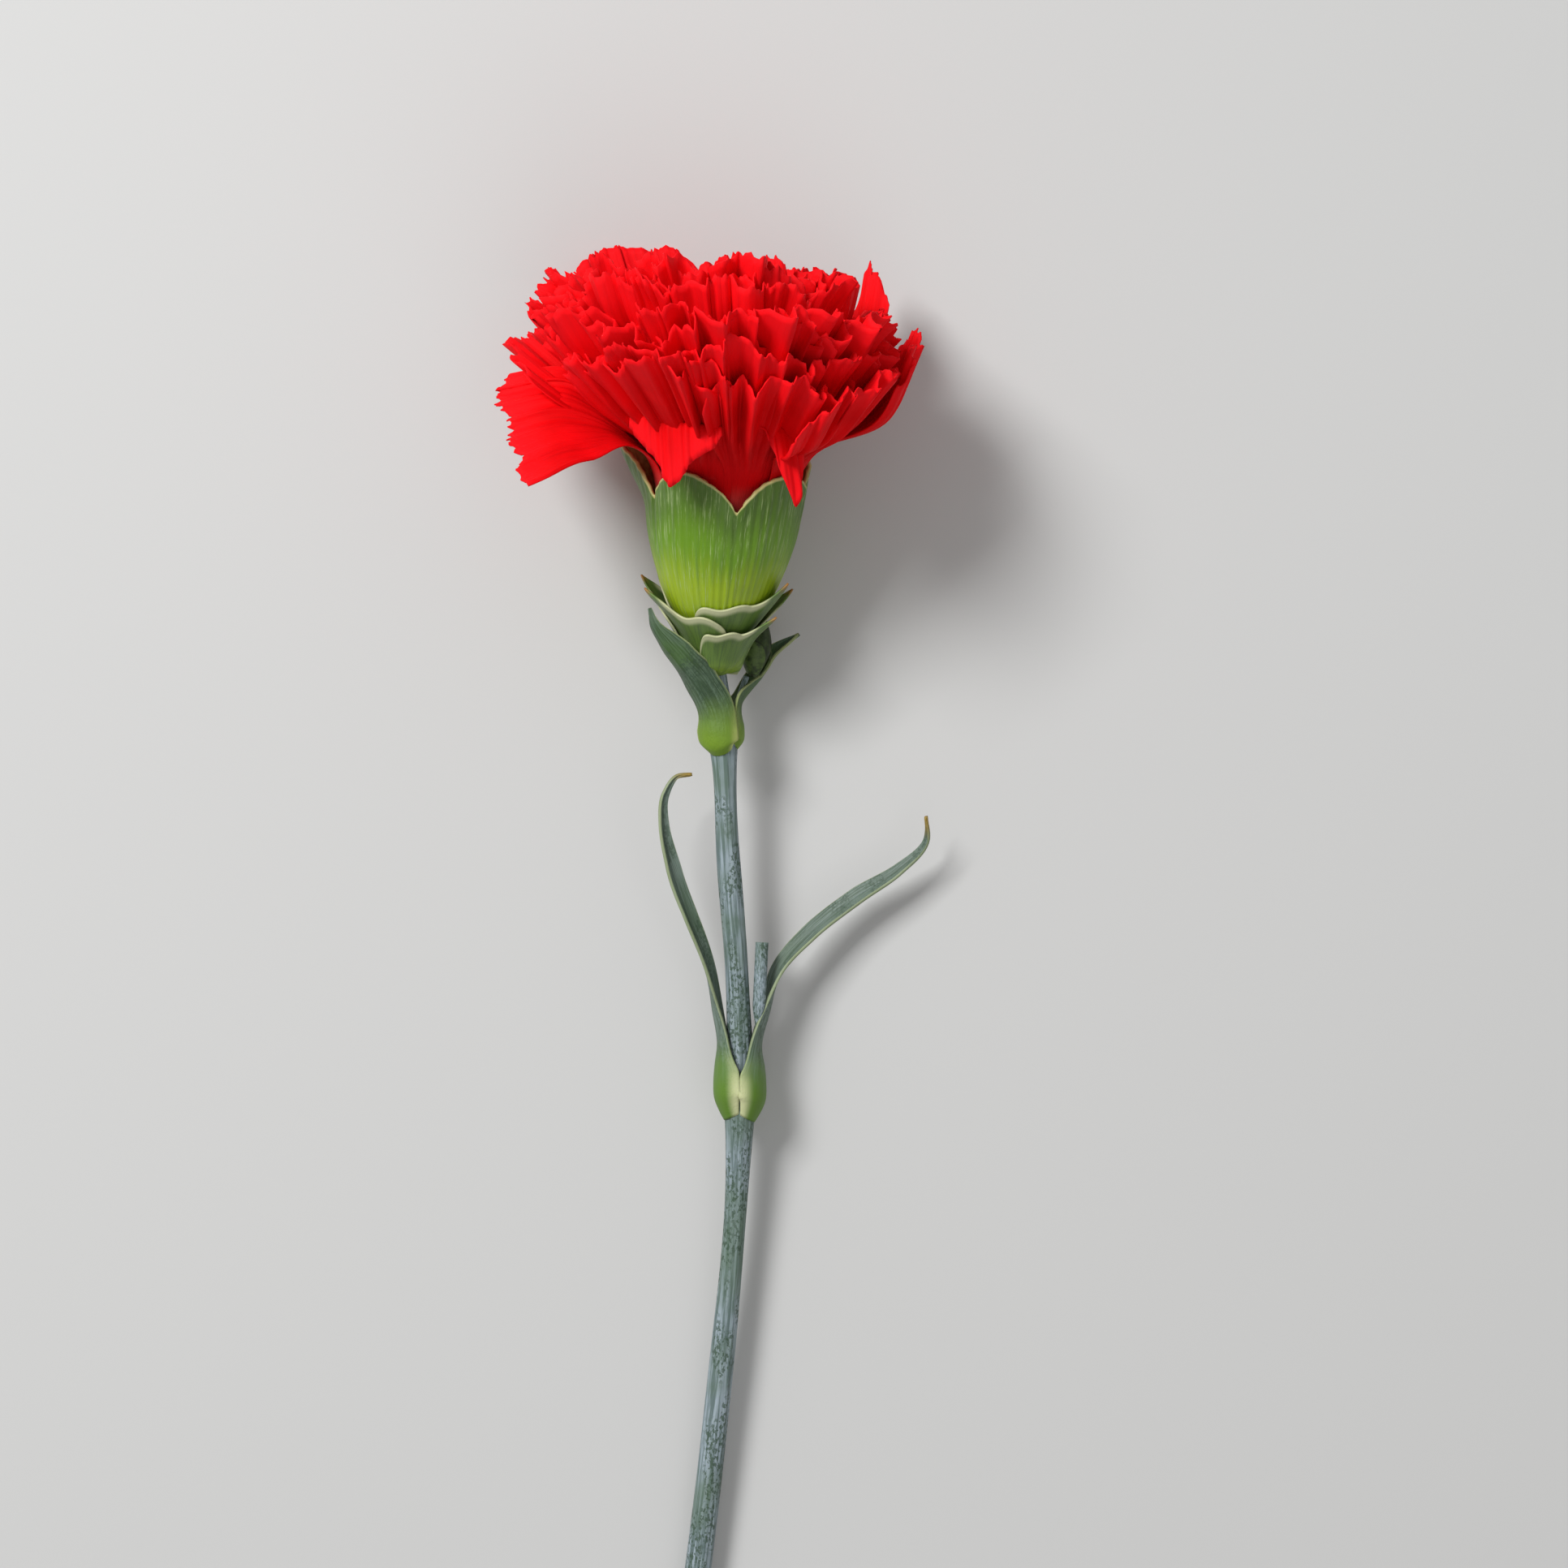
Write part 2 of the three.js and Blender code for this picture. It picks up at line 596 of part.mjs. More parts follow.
function pistil() {
  const foot = CORE.seatTop + CLEARANCE;
  return turned(
    "pistil",
    [
      [0.8 * CORE.ovaryRadius, foot],
      [CORE.ovaryRadius, lerp(foot, CORE.ovaryTop, 0.3)],
      [CORE.ovaryRadius, lerp(foot, CORE.ovaryTop, 0.6)],
      [CORE.styleRadius * 1.4, CORE.ovaryTop],
      [CORE.styleRadius, lerp(CORE.ovaryTop, CORE.styleTop, 0.5)],
      [0.3 * CORE.styleRadius, CORE.styleTop],
    ],
    COLOURS.core,
  );
}

// ---------- Petals ----------

// A petal is a thin fan on a surface of revolution. The rings' surfaces nest inside one another, and the
// neighbours in a ring stand side by side, so no two petals can meet.
function petal({ name, ring, azimuth, halfSpan, out, rise, bendOut, bendRise, twist = 0 }) {
  const neckHeight = PETAL.neckShare * CALYX.length;
  const outwards = ring / RINGS.length;
  const clawRho = lerp(CORE.ovaryRadius + PETAL.clawFit, seatRadius(CORE.seatTop) - PETAL.seatRim, outwards);
  const neckRho = lerp(PETAL.neckRadius, CALYX.mouthRadius - CALYX.wall - PETAL.rimFit, outwards);
  const outline = new THREE.SplineCurve([
    new THREE.Vector2(clawRho, CORE.seatTop + CLEARANCE),
    new THREE.Vector2(lerp(clawRho, neckRho, 0.55), lerp(CORE.seatTop, neckHeight, 0.5)),
    new THREE.Vector2(neckRho, neckHeight),
    new THREE.Vector2(neckRho + bendOut, CALYX.length + bendRise),
    new THREE.Vector2(neckRho + out, CALYX.length + rise),
  ]);
  const limit = (rho) => halfSpan - PETAL.sideGap / 2 / Math.max(rho, 1);
  const lengths = outline.getLengths(200);
  const length = lengths[200];
  const neck = lengths[100] / length;
  const reach = neckRho + out;
  const claw = PETAL.clawStations.map((t) => t * neck);
  const limb = PETAL.limbStations.map((t) => lerp(neck, 1, t));
  const rings = [...claw, ...limb].map((t) => {
    const face = (side, k) => {
      const u = 2 * k - 1;
      const zigzag = Math.round(k * PETAL.columns) % 2 === 0 ? 1 : -1;
      const edge = t ** 2 * ((zigzag * PETAL.frill) / 2 - 0.09 * reach * u * u);
      const at = outline.getPointAt(Math.min(1, t * (1 - PETAL.frill / 2 / length) + edge / length));
      const along = outline.getTangentAt(Math.min(1, t));
      const stand = (side * PETAL.thickness) / 2 + zigzag * PETAL.pleat * t ** 3;
      const rho = at.x + along.y * stand;
      const h = at.y - along.x * stand + twist * u * t ** 4;
      const fan = smooth(at.y, 0.93 * CALYX.length, CALYX.length + 5);
      const half = Math.min(limit(rho), lerp(PETAL.clawWidth / 2 / Math.max(rho, 1), limit(rho), fan));
      return press(place(rho, h, azimuth + half * u));
    };
    return [
      ...shares(PETAL.columns).map((k) => face(1, k)),
      ...shares(PETAL.columns).map((k) => face(-1, 1 - k)),
    ];
  });
  return mesh(name, skin(rings), material(COLOURS.petal, 0.55));
}

function petals() {
  const made = [];
  RINGS.forEach(({ name, count, ...shape }, ring) => {
    for (let i = 0; i < count; i += 1) {
      made.push(
        petal({
          name: `petal_${name}_${i + 1}`,
          ring,
          azimuth: (2 * Math.PI * (i + 0.5 * (ring % 2))) / count + 0.35 * ring,
          halfSpan: Math.PI / count,
          ...shape,
        }),
      );
    }
  });
  GUARDS.forEach(({ name, azimuth, span, ...shape }) => {
    made.push(
      petal({
        name: `petal_guard_${name}`,
        ring: RINGS.length,
        azimuth: rad(azimuth),
        halfSpan: rad(span / 2),
        ...shape,
      }),
    );
  });
  return made;
}

// ---------- The whole flower ----------

const carnation = new THREE.Group();
carnation.add(
  stem(),
  leaf(leafJoint, LEAF_LEFT, COLOURS.leaf),
  leaf(leafJoint, LEAF_RIGHT, COLOURS.leaf),
  shootStub(),
  leaf(bractJoint, BRACT_LEFT, COLOURS.bract),
  leaf(bractJoint, BRACT_RIGHT, COLOURS.bract),
  ...sideBud(),
  calyx(),
  ...SCALES.map(calyxScale),
  pistil(),
  ...petals(),
);

// The origin goes on the surface, in the middle of the footprint.
const extent = new THREE.Box3().setFromObject(carnation);
const middle = extent.getCenter(new THREE.Vector3());
carnation.position.set(-middle.x, -middle.y, -extent.min.z);

export default carnation;
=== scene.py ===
"""Cut carnation: the visible flower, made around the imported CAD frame.

The flower lies on a pale floor with its bloom at the high-Y end. Sizes here are millimetres and every
mesh is written in metres. A place on the flower head is given by three numbers: rho, the distance from
the head's axis, h, the height along the axis above the head's foot, and the azimuth round the axis,
which is 0 at the front (the side that faces up) and grows towards +X.
"""

import logging
from dataclasses import dataclass
from enum import Enum
from typing import NamedTuple

import bpy
import numpy as np
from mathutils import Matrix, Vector


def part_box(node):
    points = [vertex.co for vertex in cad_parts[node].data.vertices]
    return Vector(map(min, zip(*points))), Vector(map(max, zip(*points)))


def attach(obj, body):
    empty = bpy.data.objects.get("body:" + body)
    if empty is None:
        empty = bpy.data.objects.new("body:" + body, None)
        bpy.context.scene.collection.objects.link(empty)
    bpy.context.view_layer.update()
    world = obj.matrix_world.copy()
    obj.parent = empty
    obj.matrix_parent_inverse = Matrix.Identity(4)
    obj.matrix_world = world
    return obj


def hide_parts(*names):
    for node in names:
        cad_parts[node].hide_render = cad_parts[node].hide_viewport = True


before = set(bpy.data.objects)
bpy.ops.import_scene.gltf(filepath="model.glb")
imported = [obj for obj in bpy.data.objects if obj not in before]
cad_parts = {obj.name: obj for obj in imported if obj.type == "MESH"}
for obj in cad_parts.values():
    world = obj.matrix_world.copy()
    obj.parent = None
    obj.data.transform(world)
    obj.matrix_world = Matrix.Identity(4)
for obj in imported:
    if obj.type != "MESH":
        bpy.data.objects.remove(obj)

LOG = logging.getLogger("cut_carnation")
Array = np.ndarray
Triple = tuple[float, float, float]
Piece = bpy.types.Object
Material = bpy.types.Material
Socket = bpy.types.NodeSocket

MM = 0.001
ROOT = "root"
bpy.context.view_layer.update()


class Slot(Enum):
    """The material slots."""

    PETAL = "petal"
    STEM = "stem"
    LEAF = "leaf"
    BRACT = "bract"
    CALYX = "calyx"
    SCALE = "calyx_scale"
    BUD = "bud"
    PISTIL = "pistil"


# ---- numbers


def smooth(x: Array | float, low: float, high: float) -> Array:
    """Rise from 0 at low to 1 at high, level at both ends.

    Args:
        x: values to ease.
        low: value where the rise starts.
        high: value where it ends.

    Returns:
        The eased shares, 3t^2 - 2t^3 of the share t between low and high.
    """
    t = np.clip((np.asarray(x, float) - low) / (high - low), 0.0, 1.0)
    return t * t * (3.0 - 2.0 * t)


def mixed(a: Array | float, b: Array | float, share: Array | float) -> Array:
    """The value a share of the way from a to b."""
    return a + (b - a) * np.asarray(share, float)


def unit(v: Array) -> Array:
    """Vectors scaled to length 1."""
    v = np.asarray(v, float)
    return v / np.maximum(np.linalg.norm(v, axis=-1, keepdims=True), 1e-12)


def through(stations: Array | tuple, values: Array | tuple, at: Array) -> Array:
    """A smooth curve through values at stations: cubic pieces whose slopes come from the neighbours.

    Args:
        stations: rising positions, one for each value.
        values: one row, or one number, for each station.
        at: positions to read, of any shape.

    Returns:
        The values there, with the last axis of the rows kept.
    """
    s = np.asarray(stations, float)
    v = np.asarray(values, float)
    single = v.ndim == 1
    v = v[:, None] if single else v
    slope = np.gradient(v, s, axis=0)
    at = np.clip(np.asarray(at, float), s[0], s[-1])
    k = np.clip(np.searchsorted(s, at, side="right") - 1, 0, len(s) - 2)
    width = (s[k + 1] - s[k])[..., None]
    t = (at - s[k])[..., None] / width
    rest = 1.0 - t
    made = (
        v[k] * rest**2 * (1.0 + 2.0 * t)
        + v[k + 1] * t**2 * (3.0 - 2.0 * t)
        + slope[k] * width * t * rest**2
        - slope[k + 1] * width * t**2 * rest
    )
    return made[..., 0] if single else made


def chord_shares(points: Array) -> Array:
    """Each point's share of the whole length of the line through the points."""
    steps = np.linalg.norm(np.diff(points, axis=0), axis=1)
    walked = np.concatenate([[0.0], np.cumsum(steps)])
    return walked / walked[-1]


def waves(u: Array, rng: np.random.Generator, counts: tuple[float, ...], fade: float = 0.0) -> Array:
    """A sum of sines across u, one for each count of half waves, with random heights and phases.

    Args:
        u: positions from -1 to 1.
        rng: source of the random heights and phases.
        counts: half waves across the whole width, one for each sine.
        fade: how fast later sines lose height.

    Returns:
        Values of about -1 to 1.
    """
    total = np.zeros_like(u)
    weight = 0.0
    for order, count in enumerate(counts):
        height = rng.uniform(0.7, 1.0) / (1.0 + fade * order)
        total = total + height * np.sin(0.5 * np.pi * count * u + rng.uniform(0, 2 * np.pi))
        weight += height**2
    return total / np.sqrt(weight)


# ---- meshes


def surface(
    name: str,
    points: Array,
    wrapped: bool = False,
    capped: bool = False,
    marks: dict[str, Array] | None = None,
) -> Piece:
    """A mesh over a grid of points, with a UV map of column share by row share.

    Args:
        name: the piece's name.
        points: rows by columns by 3, in millimetres.
        wrapped: joins the last column to the first.
        capped: closes the first and last row of a wrapped grid with a fan round its middle.
        marks: named grids of numbers that the finish reads as attributes.

    Returns:
        The object, at the origin, unturned and unscaled.
    """
    rows, cols = points.shape[:2]
    index = np.arange(rows * cols).reshape(rows, cols)
    left = index if wrapped else index[:, :-1]
    right = np.roll(index, -1, axis=1) if wrapped else index[:, 1:]
    quads = np.stack([left[:-1], right[:-1], right[1:], left[1:]], axis=-1).reshape(-1, 4)
    spans = left.shape[1]
    across = np.arange(spans + 1) / spans
    along = np.arange(rows) / (rows - 1)
    near, far = across[:-1], across[1:]
    low, high = along[:-1], along[1:]
    u = np.broadcast_to(np.stack([near, far, far, near], axis=-1), (rows - 1, spans, 4))
    v = np.broadcast_to(np.stack([low, low, high, high], axis=-1)[:, None], u.shape)
    uv = [np.stack([u, v], axis=-1).reshape(-1, 2)]
    vertices = points.reshape(-1, 3)
    faces = quads.tolist()
    if capped:
        vertices = np.vstack([vertices, points[[0, -1]].mean(axis=1)])
        fans = ((right[0], left[0], far, near), (left[-1], right[-1], near, far))
        for end, (first, last, first_share, last_share) in enumerate(fans):
            middle = np.full(spans, rows * cols + end)
            faces += np.stack([middle, first, last], axis=-1).tolist()
            shares = np.stack([np.full(spans, 0.5), first_share, last_share], axis=-1)
            uv.append(np.stack([shares, np.full_like(shares, end)], axis=-1).reshape(-1, 2))
    mesh = bpy.data.meshes.new(name)
    mesh.from_pydata((vertices * MM).tolist(), [], faces)
    mesh.uv_layers.new(name="UVMap").data.foreach_set("uv", np.vstack(uv).ravel())
    for mark, values in (marks or {}).items():
        flat = np.broadcast_to(values, points.shape[:2]).ravel()
        mesh.attributes.new(mark, "FLOAT", "POINT").data.foreach_set("value", flat)
    mesh.shade_smooth()
    mesh.update()
    piece = bpy.data.objects.new(name, mesh)
    bpy.context.scene.collection.objects.link(piece)
    return piece


def give_wall(piece: Piece, thickness: float, offset: float = 0.0) -> bpy.types.Modifier:
    """Turn a sheet into a thin closed wall.

    Args:
        piece: the sheet.
        thickness: the wall, in millimetres.
        offset: -1 grows it behind the faces, 0 on both sides, 1 in front.

    Returns:
        The modifier.
    """
    wall = piece.modifiers.new("wall", "SOLIDIFY")
    wall.thickness = thickness * MM
    wall.offset = offset
    wall.use_rim = True
    return wall


def show_cut(piece: Piece, material: Material, caps: slice) -> None:
    """Give the fan faces of a cut end a flat shade and a finish of their own.

    Args:
        piece: a capped tube that already has its skin.
        material: the finish of the cut.
        caps: which of its faces are the cut.
    """
    piece.data.materials.append(material)
    cut = np.zeros(len(piece.data.polygons), np.int32)
    cut[caps] = 1
    piece.data.polygons.foreach_set("material_index", cut)
    piece.data.polygons.foreach_set("use_smooth", cut == 0)


def tube(centres: Array, radii: Array, sides: int, start: float = 0.0, guide: Triple = (0, 0, 1)) -> Array:
    """Rings carried along a line: a circle of the given radius square to the line at each centre.

    Args:
        centres: points of the line.
        radii: one radius for each point, or one for each point and side.
        sides: points round each ring.
        start: angle of the first side from the guide, in radians.
        guide: direction that angle 0 points to.

    Returns:
        Grid of rings.
    """
    along = unit(np.gradient(centres, axis=0))
    up = unit(np.asarray(guide, float) - along * (along @ np.asarray(guide, float))[:, None])
    side = np.cross(along, up)
    angle = start + 2 * np.pi * np.arange(sides) / sides
    radii = np.asarray(radii, float).reshape(len(centres), -1)[..., None]
    spoke = up[:, None] * np.cos(angle)[None, :, None] + side[:, None] * np.sin(angle)[None, :, None]
    return centres[:, None] + spoke * radii


# ---- materials


def srgb(red: int, green: int, blue: int) -> Triple:
    """A colour on the 0 to 255 display scale, as the linear values that nodes take."""
    share = np.array([red, green, blue], float) / 255.0
    linear = np.where(share <= 0.04045, share / 12.92, ((share + 0.055) / 1.055) ** 2.4)
    return tuple(float(x) for x in linear)


class Grain(NamedTuple):
    """Cloudy noise: the coordinates that it reads, their stretch, its scale, detail and roughness."""

    place: str
    stretch: Triple | None = None
    scale: float = 1.0
    detail: float = 3.0
    rough: float = 0.5


class Coat(NamedTuple):
    """A colour laid as its mask goes from low to high, which may lie below low, up to the share most."""

    mask: str
    low: float
    high: float
    colour: Triple
    most: float = 1.0


class Paint:
    """A hand for building one node material."""

    def __init__(self, name: str) -> None:
        """Start a material with a Principled shader wired to its output."""
        self.material = bpy.data.materials.new(name)
        self.material.use_nodes = True
        self.nodes = self.material.node_tree.nodes
        self.links = self.material.node_tree.links
        self.shader = self.nodes["Principled BSDF"]
        self.places: dict[str, Socket] = {}

    def add(self, kind: str, **inputs: object) -> bpy.types.Node:
        """Add a node and fill its inputs.

        Args:
            kind: the node's type.
            inputs: socket name with _ for spaces, and a socket or a value.

        Returns:
            The node.
        """
        node = self.nodes.new(kind)
        for name, value in inputs.items():
            self.fill(node.inputs[name.replace("_", " ")], value)
        return node

    def fill(self, socket: Socket, value: object) -> None:
        """Link a socket to another, or set its value."""
        if isinstance(value, Socket):
            self.links.new(value, socket)
        elif isinstance(value, tuple) and len(value) == 3 and socket.type == "RGBA":
            socket.default_value = (*value, 1.0)
        else:
            socket.default_value = value

    def place(self, kind: str) -> Socket:
        """The piece's own coordinates, Object or UV."""
        if kind not in self.places:
            self.places[kind] = self.add("ShaderNodeTexCoord").outputs[kind]
        return self.places[kind]

    def mark(self, name: str) -> Socket:
        """A number that the mesh carries at each point."""
        node = self.add("ShaderNodeAttribute")
        node.attribute_name = name
        return node.outputs["Fac"]

    def share(self, axis: str) -> Socket:
        """One UV axis: X runs across the piece and Y runs along it."""
        return self.add("ShaderNodeSeparateXYZ", Vector=self.place("UV")).outputs[axis]

    def noise(self, grain: Grain) -> Socket:
        """Cloudy noise of 0 to 1."""
        at = self.place(grain.place)
        if grain.stretch:
            at = self.add("ShaderNodeMapping", Vector=at, Scale=grain.stretch).outputs["Vector"]
        node = self.add("ShaderNodeTexNoise", Vector=at, Scale=grain.scale, Detail=grain.detail)
        node.inputs["Roughness"].default_value = grain.rough
        return node.outputs["Fac"]

    def climb(self, value: Socket, low: float, high: float, most: float = 1.0) -> Socket:
        """Ease values from low to high onto 0 to most, held at both ends."""
        node = self.add("ShaderNodeMapRange", Value=value, From_Min=low, From_Max=high, To_Max=most)
        node.interpolation_type = "SMOOTHSTEP"
        return node.outputs["Result"]

    def math(self, kind: str, a: object, b: object) -> Socket:
        """One step of arithmetic on two values."""
        node = self.nodes.new("ShaderNodeMath")
        node.operation = kind
        self.fill(node.inputs[0], a)
        self.fill(node.inputs[1], b)
        return node.outputs[0]

    def blend(self, share: object, a: object, b: object) -> Socket:
        """A colour a share of the way from a to b."""
        node = self.nodes.new("ShaderNodeMix")
        node.data_type = "RGBA"
        self.fill(node.inputs[0], share)
        self.fill(node.inputs[6], a)
        self.fill(node.inputs[7], b)
        return node.outputs[2]

    def coats(self, base: object, coats: tuple[Coat, ...], **masks: Socket) -> Socket:
        """Lay coats over a base colour.

        Args:
            base: the colour below them.
            coats: the coats, lowest first.
            masks: the masks that the coats name.

        Returns:
            The colour.
        """
        for coat in coats:
            share = self.climb(masks[coat.mask], coat.low, coat.high, coat.most)
            base = self.blend(share, base, coat.colour)
        return base

    def relief(self, height: Socket, strength: float, depth: float) -> Socket:
        """Surface directions raised by a height map, depth in millimetres."""
        bump = self.add("ShaderNodeBump", Height=height, Strength=strength, Distance=depth * MM)
        return bump.outputs["Normal"]

    def finish(self, colour: Socket, **settings: object) -> Material:
        """Give the shader its colour and its settings.

        Args:
            colour: the base colour.
            settings: socket name with _ for spaces, and a value or a socket.

        Returns:
            The material.
        """
        for name, value in {"Base Color": colour, **settings}.items():
            self.fill(self.shader.inputs[name.replace("_", " ")], value)
        return self.material


# Deep red of the fine veins, also laid as painted shade towards the petal bases.
VEIN_AND_SHADE_RED = srgb(164, 2, 5)


@dataclass(frozen=True)
class PetalFinish:
    """Velvety petal: fine veins that run to the rim, soft clouds of lighter and deeper red, painted shade
    that deepens the red towards the base, a painted highlight at the rim, pale claw.
    """

    name: str = "petal_velvet"
    veins: Grain = Grain("UV", (46.0, 1.6, 1.0), 1.0, 4.0, 0.6)
    clouds: Grain = Grain("Object", None, 120.0)
    middle: Triple = srgb(222, 4, 10)
    coats: tuple[Coat, ...] = (
        Coat("clouds", 0.3, 0.7, srgb(246, 7, 16)),
        Coat("veins", 0.5, 0.85, VEIN_AND_SHADE_RED, 0.55),
        # Painted shade: the red deepens towards the base, where each petal lies in the hollows of the
        # bloom.
        Coat("along", 0.9, 0.5, VEIN_AND_SHADE_RED, 0.36),
        # Painted highlight: brighter, pinker red towards the rim, standing in for light that glows through
        # the petal.
        Coat("along", 0.82, 1.0, srgb(255, 26, 36), 0.55),
        Coat("along", 0.45, 0.33, srgb(214, 70, 66)),
        Coat("along", 0.36, 0.25, srgb(214, 196, 148)),
    )

    def build(self) -> Material:
        """Make the material."""
        paint = Paint(self.name)
        veins = paint.noise(self.veins)
        clouds = paint.noise(self.clouds)
        colour = paint.coats(self.middle, self.coats, veins=veins, clouds=clouds, along=paint.share("Y"))
        return paint.finish(
            colour, Normal=paint.relief(veins, 0.5, 0.25), Roughness=0.65,
            Specular_IOR_Level=0.07, Subsurface_Weight=0.2,
            Subsurface_Radius=(1.0, 0.06, 0.05), Subsurface_Scale=0.6 * MM,
        )


@dataclass(frozen=True)
class WaxyFinish:
    """Waxy blue-grey skin over green: long fine streaks, speckles where the wax is thin, paler edges."""

    name: str
    wax: Triple
    thin: Triple
    green: Triple
    edge: Triple
    streaks: Triple = (34.0, 9.0, 1.0)
    speckled: float = 0.5
    spot: Triple = srgb(56, 78, 58)
    foot: Triple | None = None
    foot_ends: float = 0.12
    foot_pale: Triple | None = None
    tip: Triple | None = None
    edge_width: float = 0.05
    most_green: float = 0.6
    clouds: Grain = Grain("Object", None, 90.0)
    grains: Grain = Grain("Object", (1.0, 0.6, 1.0), 2300.0, 2.0, 0.6)
    crowds: Grain = Grain("Object", (1.0, 0.35, 1.0), 260.0, 2.0)

    def build(self) -> Material:
        """Make the material."""
        paint = Paint(self.name)
        streaks = paint.noise(Grain("UV", self.streaks, 1.0, 5.0, 0.65))
        clouds = paint.noise(self.clouds)
        grains = paint.climb(paint.noise(self.grains), 0.5, 0.57)
        speckles = paint.math("MULTIPLY", grains, paint.climb(paint.noise(self.crowds), 0.42, 0.54))
        skin = (
            Coat("streaks", 0.4, 0.6, self.thin),
            Coat("clouds", 0.42, 0.72, self.green, self.most_green),
        )
        colour = paint.coats(self.wax, skin, streaks=streaks, clouds=clouds)
        colour = paint.blend(paint.math("MULTIPLY", speckles, self.speckled), colour, self.spot)
        across = paint.math("ABSOLUTE", paint.math("SUBTRACT", paint.share("X"), 0.5), 0.0)
        along = paint.share("Y")
        patchy = paint.math("ADD", along, paint.math("MULTIPLY", clouds, self.foot_ends))
        if self.edge_width > 0:
            edge = Coat("across", 0.5 - self.edge_width, 0.5, self.edge, 0.8)
            colour = paint.coats(colour, (edge,), across=across)
        if self.foot:
            foot = Coat("patchy", self.foot_ends * 1.75, self.foot_ends * 0.85, self.foot)
            colour = paint.coats(colour, (foot,), patchy=patchy)
        if self.foot_pale:
            low = paint.climb(patchy, self.foot_ends * 1.5, self.foot_ends * 0.8)
            sides = paint.math("MULTIPLY", paint.climb(across, 0.3, 0.47), low)
            colour = paint.blend(sides, colour, self.foot_pale)
        if self.tip:
            colour = paint.coats(colour, (Coat("along", 0.93, 0.995, self.tip),), along=along)
        height = paint.math("SUBTRACT", streaks, paint.math("MULTIPLY", speckles, 0.5))
        return paint.finish(
            colour, Normal=paint.relief(height, 0.45, 0.12), Roughness=0.52,
            Specular_IOR_Level=0.35, Subsurface_Weight=0.06,
            Subsurface_Radius=(0.4, 0.6, 0.2), Subsurface_Scale=0.6 * MM,
        )


CALYX_GREY = srgb(98, 128, 64)


@dataclass(frozen=True)
class CalyxFinish:
    """Green cup: fine ribs from foot to rim, yellower at the foot and darker at the teeth, papery rim."""

    name: str = "calyx_green"
    ribs: Grain = Grain("UV", (90.0, 2.2, 1.0), 1.0, 3.0, 0.55)
    fine: Grain = Grain("UV", (210.0, 5.0, 1.0), 1.0, 4.0, 0.7)
    clouds: Grain = Grain("Object", None, 110.0)
    foot: Triple = srgb(154, 180, 26)
    waver: float = 0.16
    coats: tuple[Coat, ...] = (
        Coat("wavy", 0.5, 0.78, srgb(102, 144, 26)),
        Coat("wavy", 0.74, 1.02, srgb(78, 110, 34)),
        Coat("clouds", 0.5, 0.75, CALYX_GREY, 0.3),
        Coat("fine", 0.52, 0.7, srgb(172, 192, 132), 0.7),
        Coat("ribs", 0.52, 0.72, CALYX_GREY, 0.35),
        Coat("along", 0.984, 0.996, srgb(186, 182, 118)),
    )

    def build(self) -> Material:
        """Make the material."""
        paint = Paint(self.name)
        ribs = paint.noise(self.ribs)
        along = paint.share("Y")
        colour = paint.coats(
            self.foot, self.coats, ribs=ribs, fine=paint.noise(self.fine), clouds=paint.noise(self.clouds),
            along=along, wavy=paint.math("ADD", along, paint.math("MULTIPLY", ribs, self.waver)),
        )
        return paint.finish(
            colour, Normal=paint.relief(ribs, 0.5, 0.2), Roughness=0.42,
            Specular_IOR_Level=0.4, Subsurface_Weight=0.08,
            Subsurface_Radius=(0.4, 0.6, 0.1), Subsurface_Scale=0.8 * MM,
        )


SCALE_DARK = srgb(66, 90, 50)


@dataclass(frozen=True)
class ScaleFinish:
    """Green scale with fine ribs and a papery margin that browns at the point."""

    name: str = "scale_green"
    ribs: Grain = Grain("UV", (36.0, 2.0, 1.0), 1.0, 3.0, 0.55)
    clouds: Grain = Grain("Object", None, 180.0, 2.0)
    foot: Triple = srgb(138, 168, 44)
    coats: tuple[Coat, ...] = (
        Coat("along", 0.05, 0.45, srgb(98, 126, 56)),
        Coat("ribs", 0.42, 0.7, SCALE_DARK, 0.6),
        Coat("clouds", 0.5, 0.75, SCALE_DARK, 0.6),
    )
    paper: Triple = srgb(200, 202, 160)
    paper_most: float = 0.9
    brown: Triple = srgb(168, 118, 62)

    def build(self) -> Material:
        """Make the material."""
        paint = Paint(self.name)
        ribs = paint.noise(self.ribs)
        clouds = paint.noise(self.clouds)
        colour = paint.coats(self.foot, self.coats, ribs=ribs, clouds=clouds, along=paint.share("Y"))
        papery = paint.math("MULTIPLY", paint.mark("paper"), self.paper_most)
        colour = paint.blend(paint.mark("tip"), paint.blend(papery, colour, self.paper), self.brown)
        relief = paint.relief(ribs, 0.5, 0.12)
        return paint.finish(colour, Normal=relief, Roughness=0.45, Specular_IOR_Level=0.4)


@dataclass(frozen=True)
class FleshFinish:
    """Plain plant flesh of two tones in fine streaks, for the cut faces, the bud and the pistil."""

    name: str
    light: Triple
    dark: Triple
    roughness: float = 0.5
    grain: Grain = Grain("Object", None, 900.0, 4.0, 0.6)

    def build(self) -> Material:
        """Make the material."""
        paint = Paint(self.name)
        grain = paint.noise(self.grain)
        colour = paint.coats(self.light, (Coat("grain", 0.35, 0.7, self.dark),), grain=grain)
        relief = paint.relief(grain, 0.4, 0.1)
        return paint.finish(colour, Normal=relief, Roughness=self.roughness, Specular_IOR_Level=0.35)


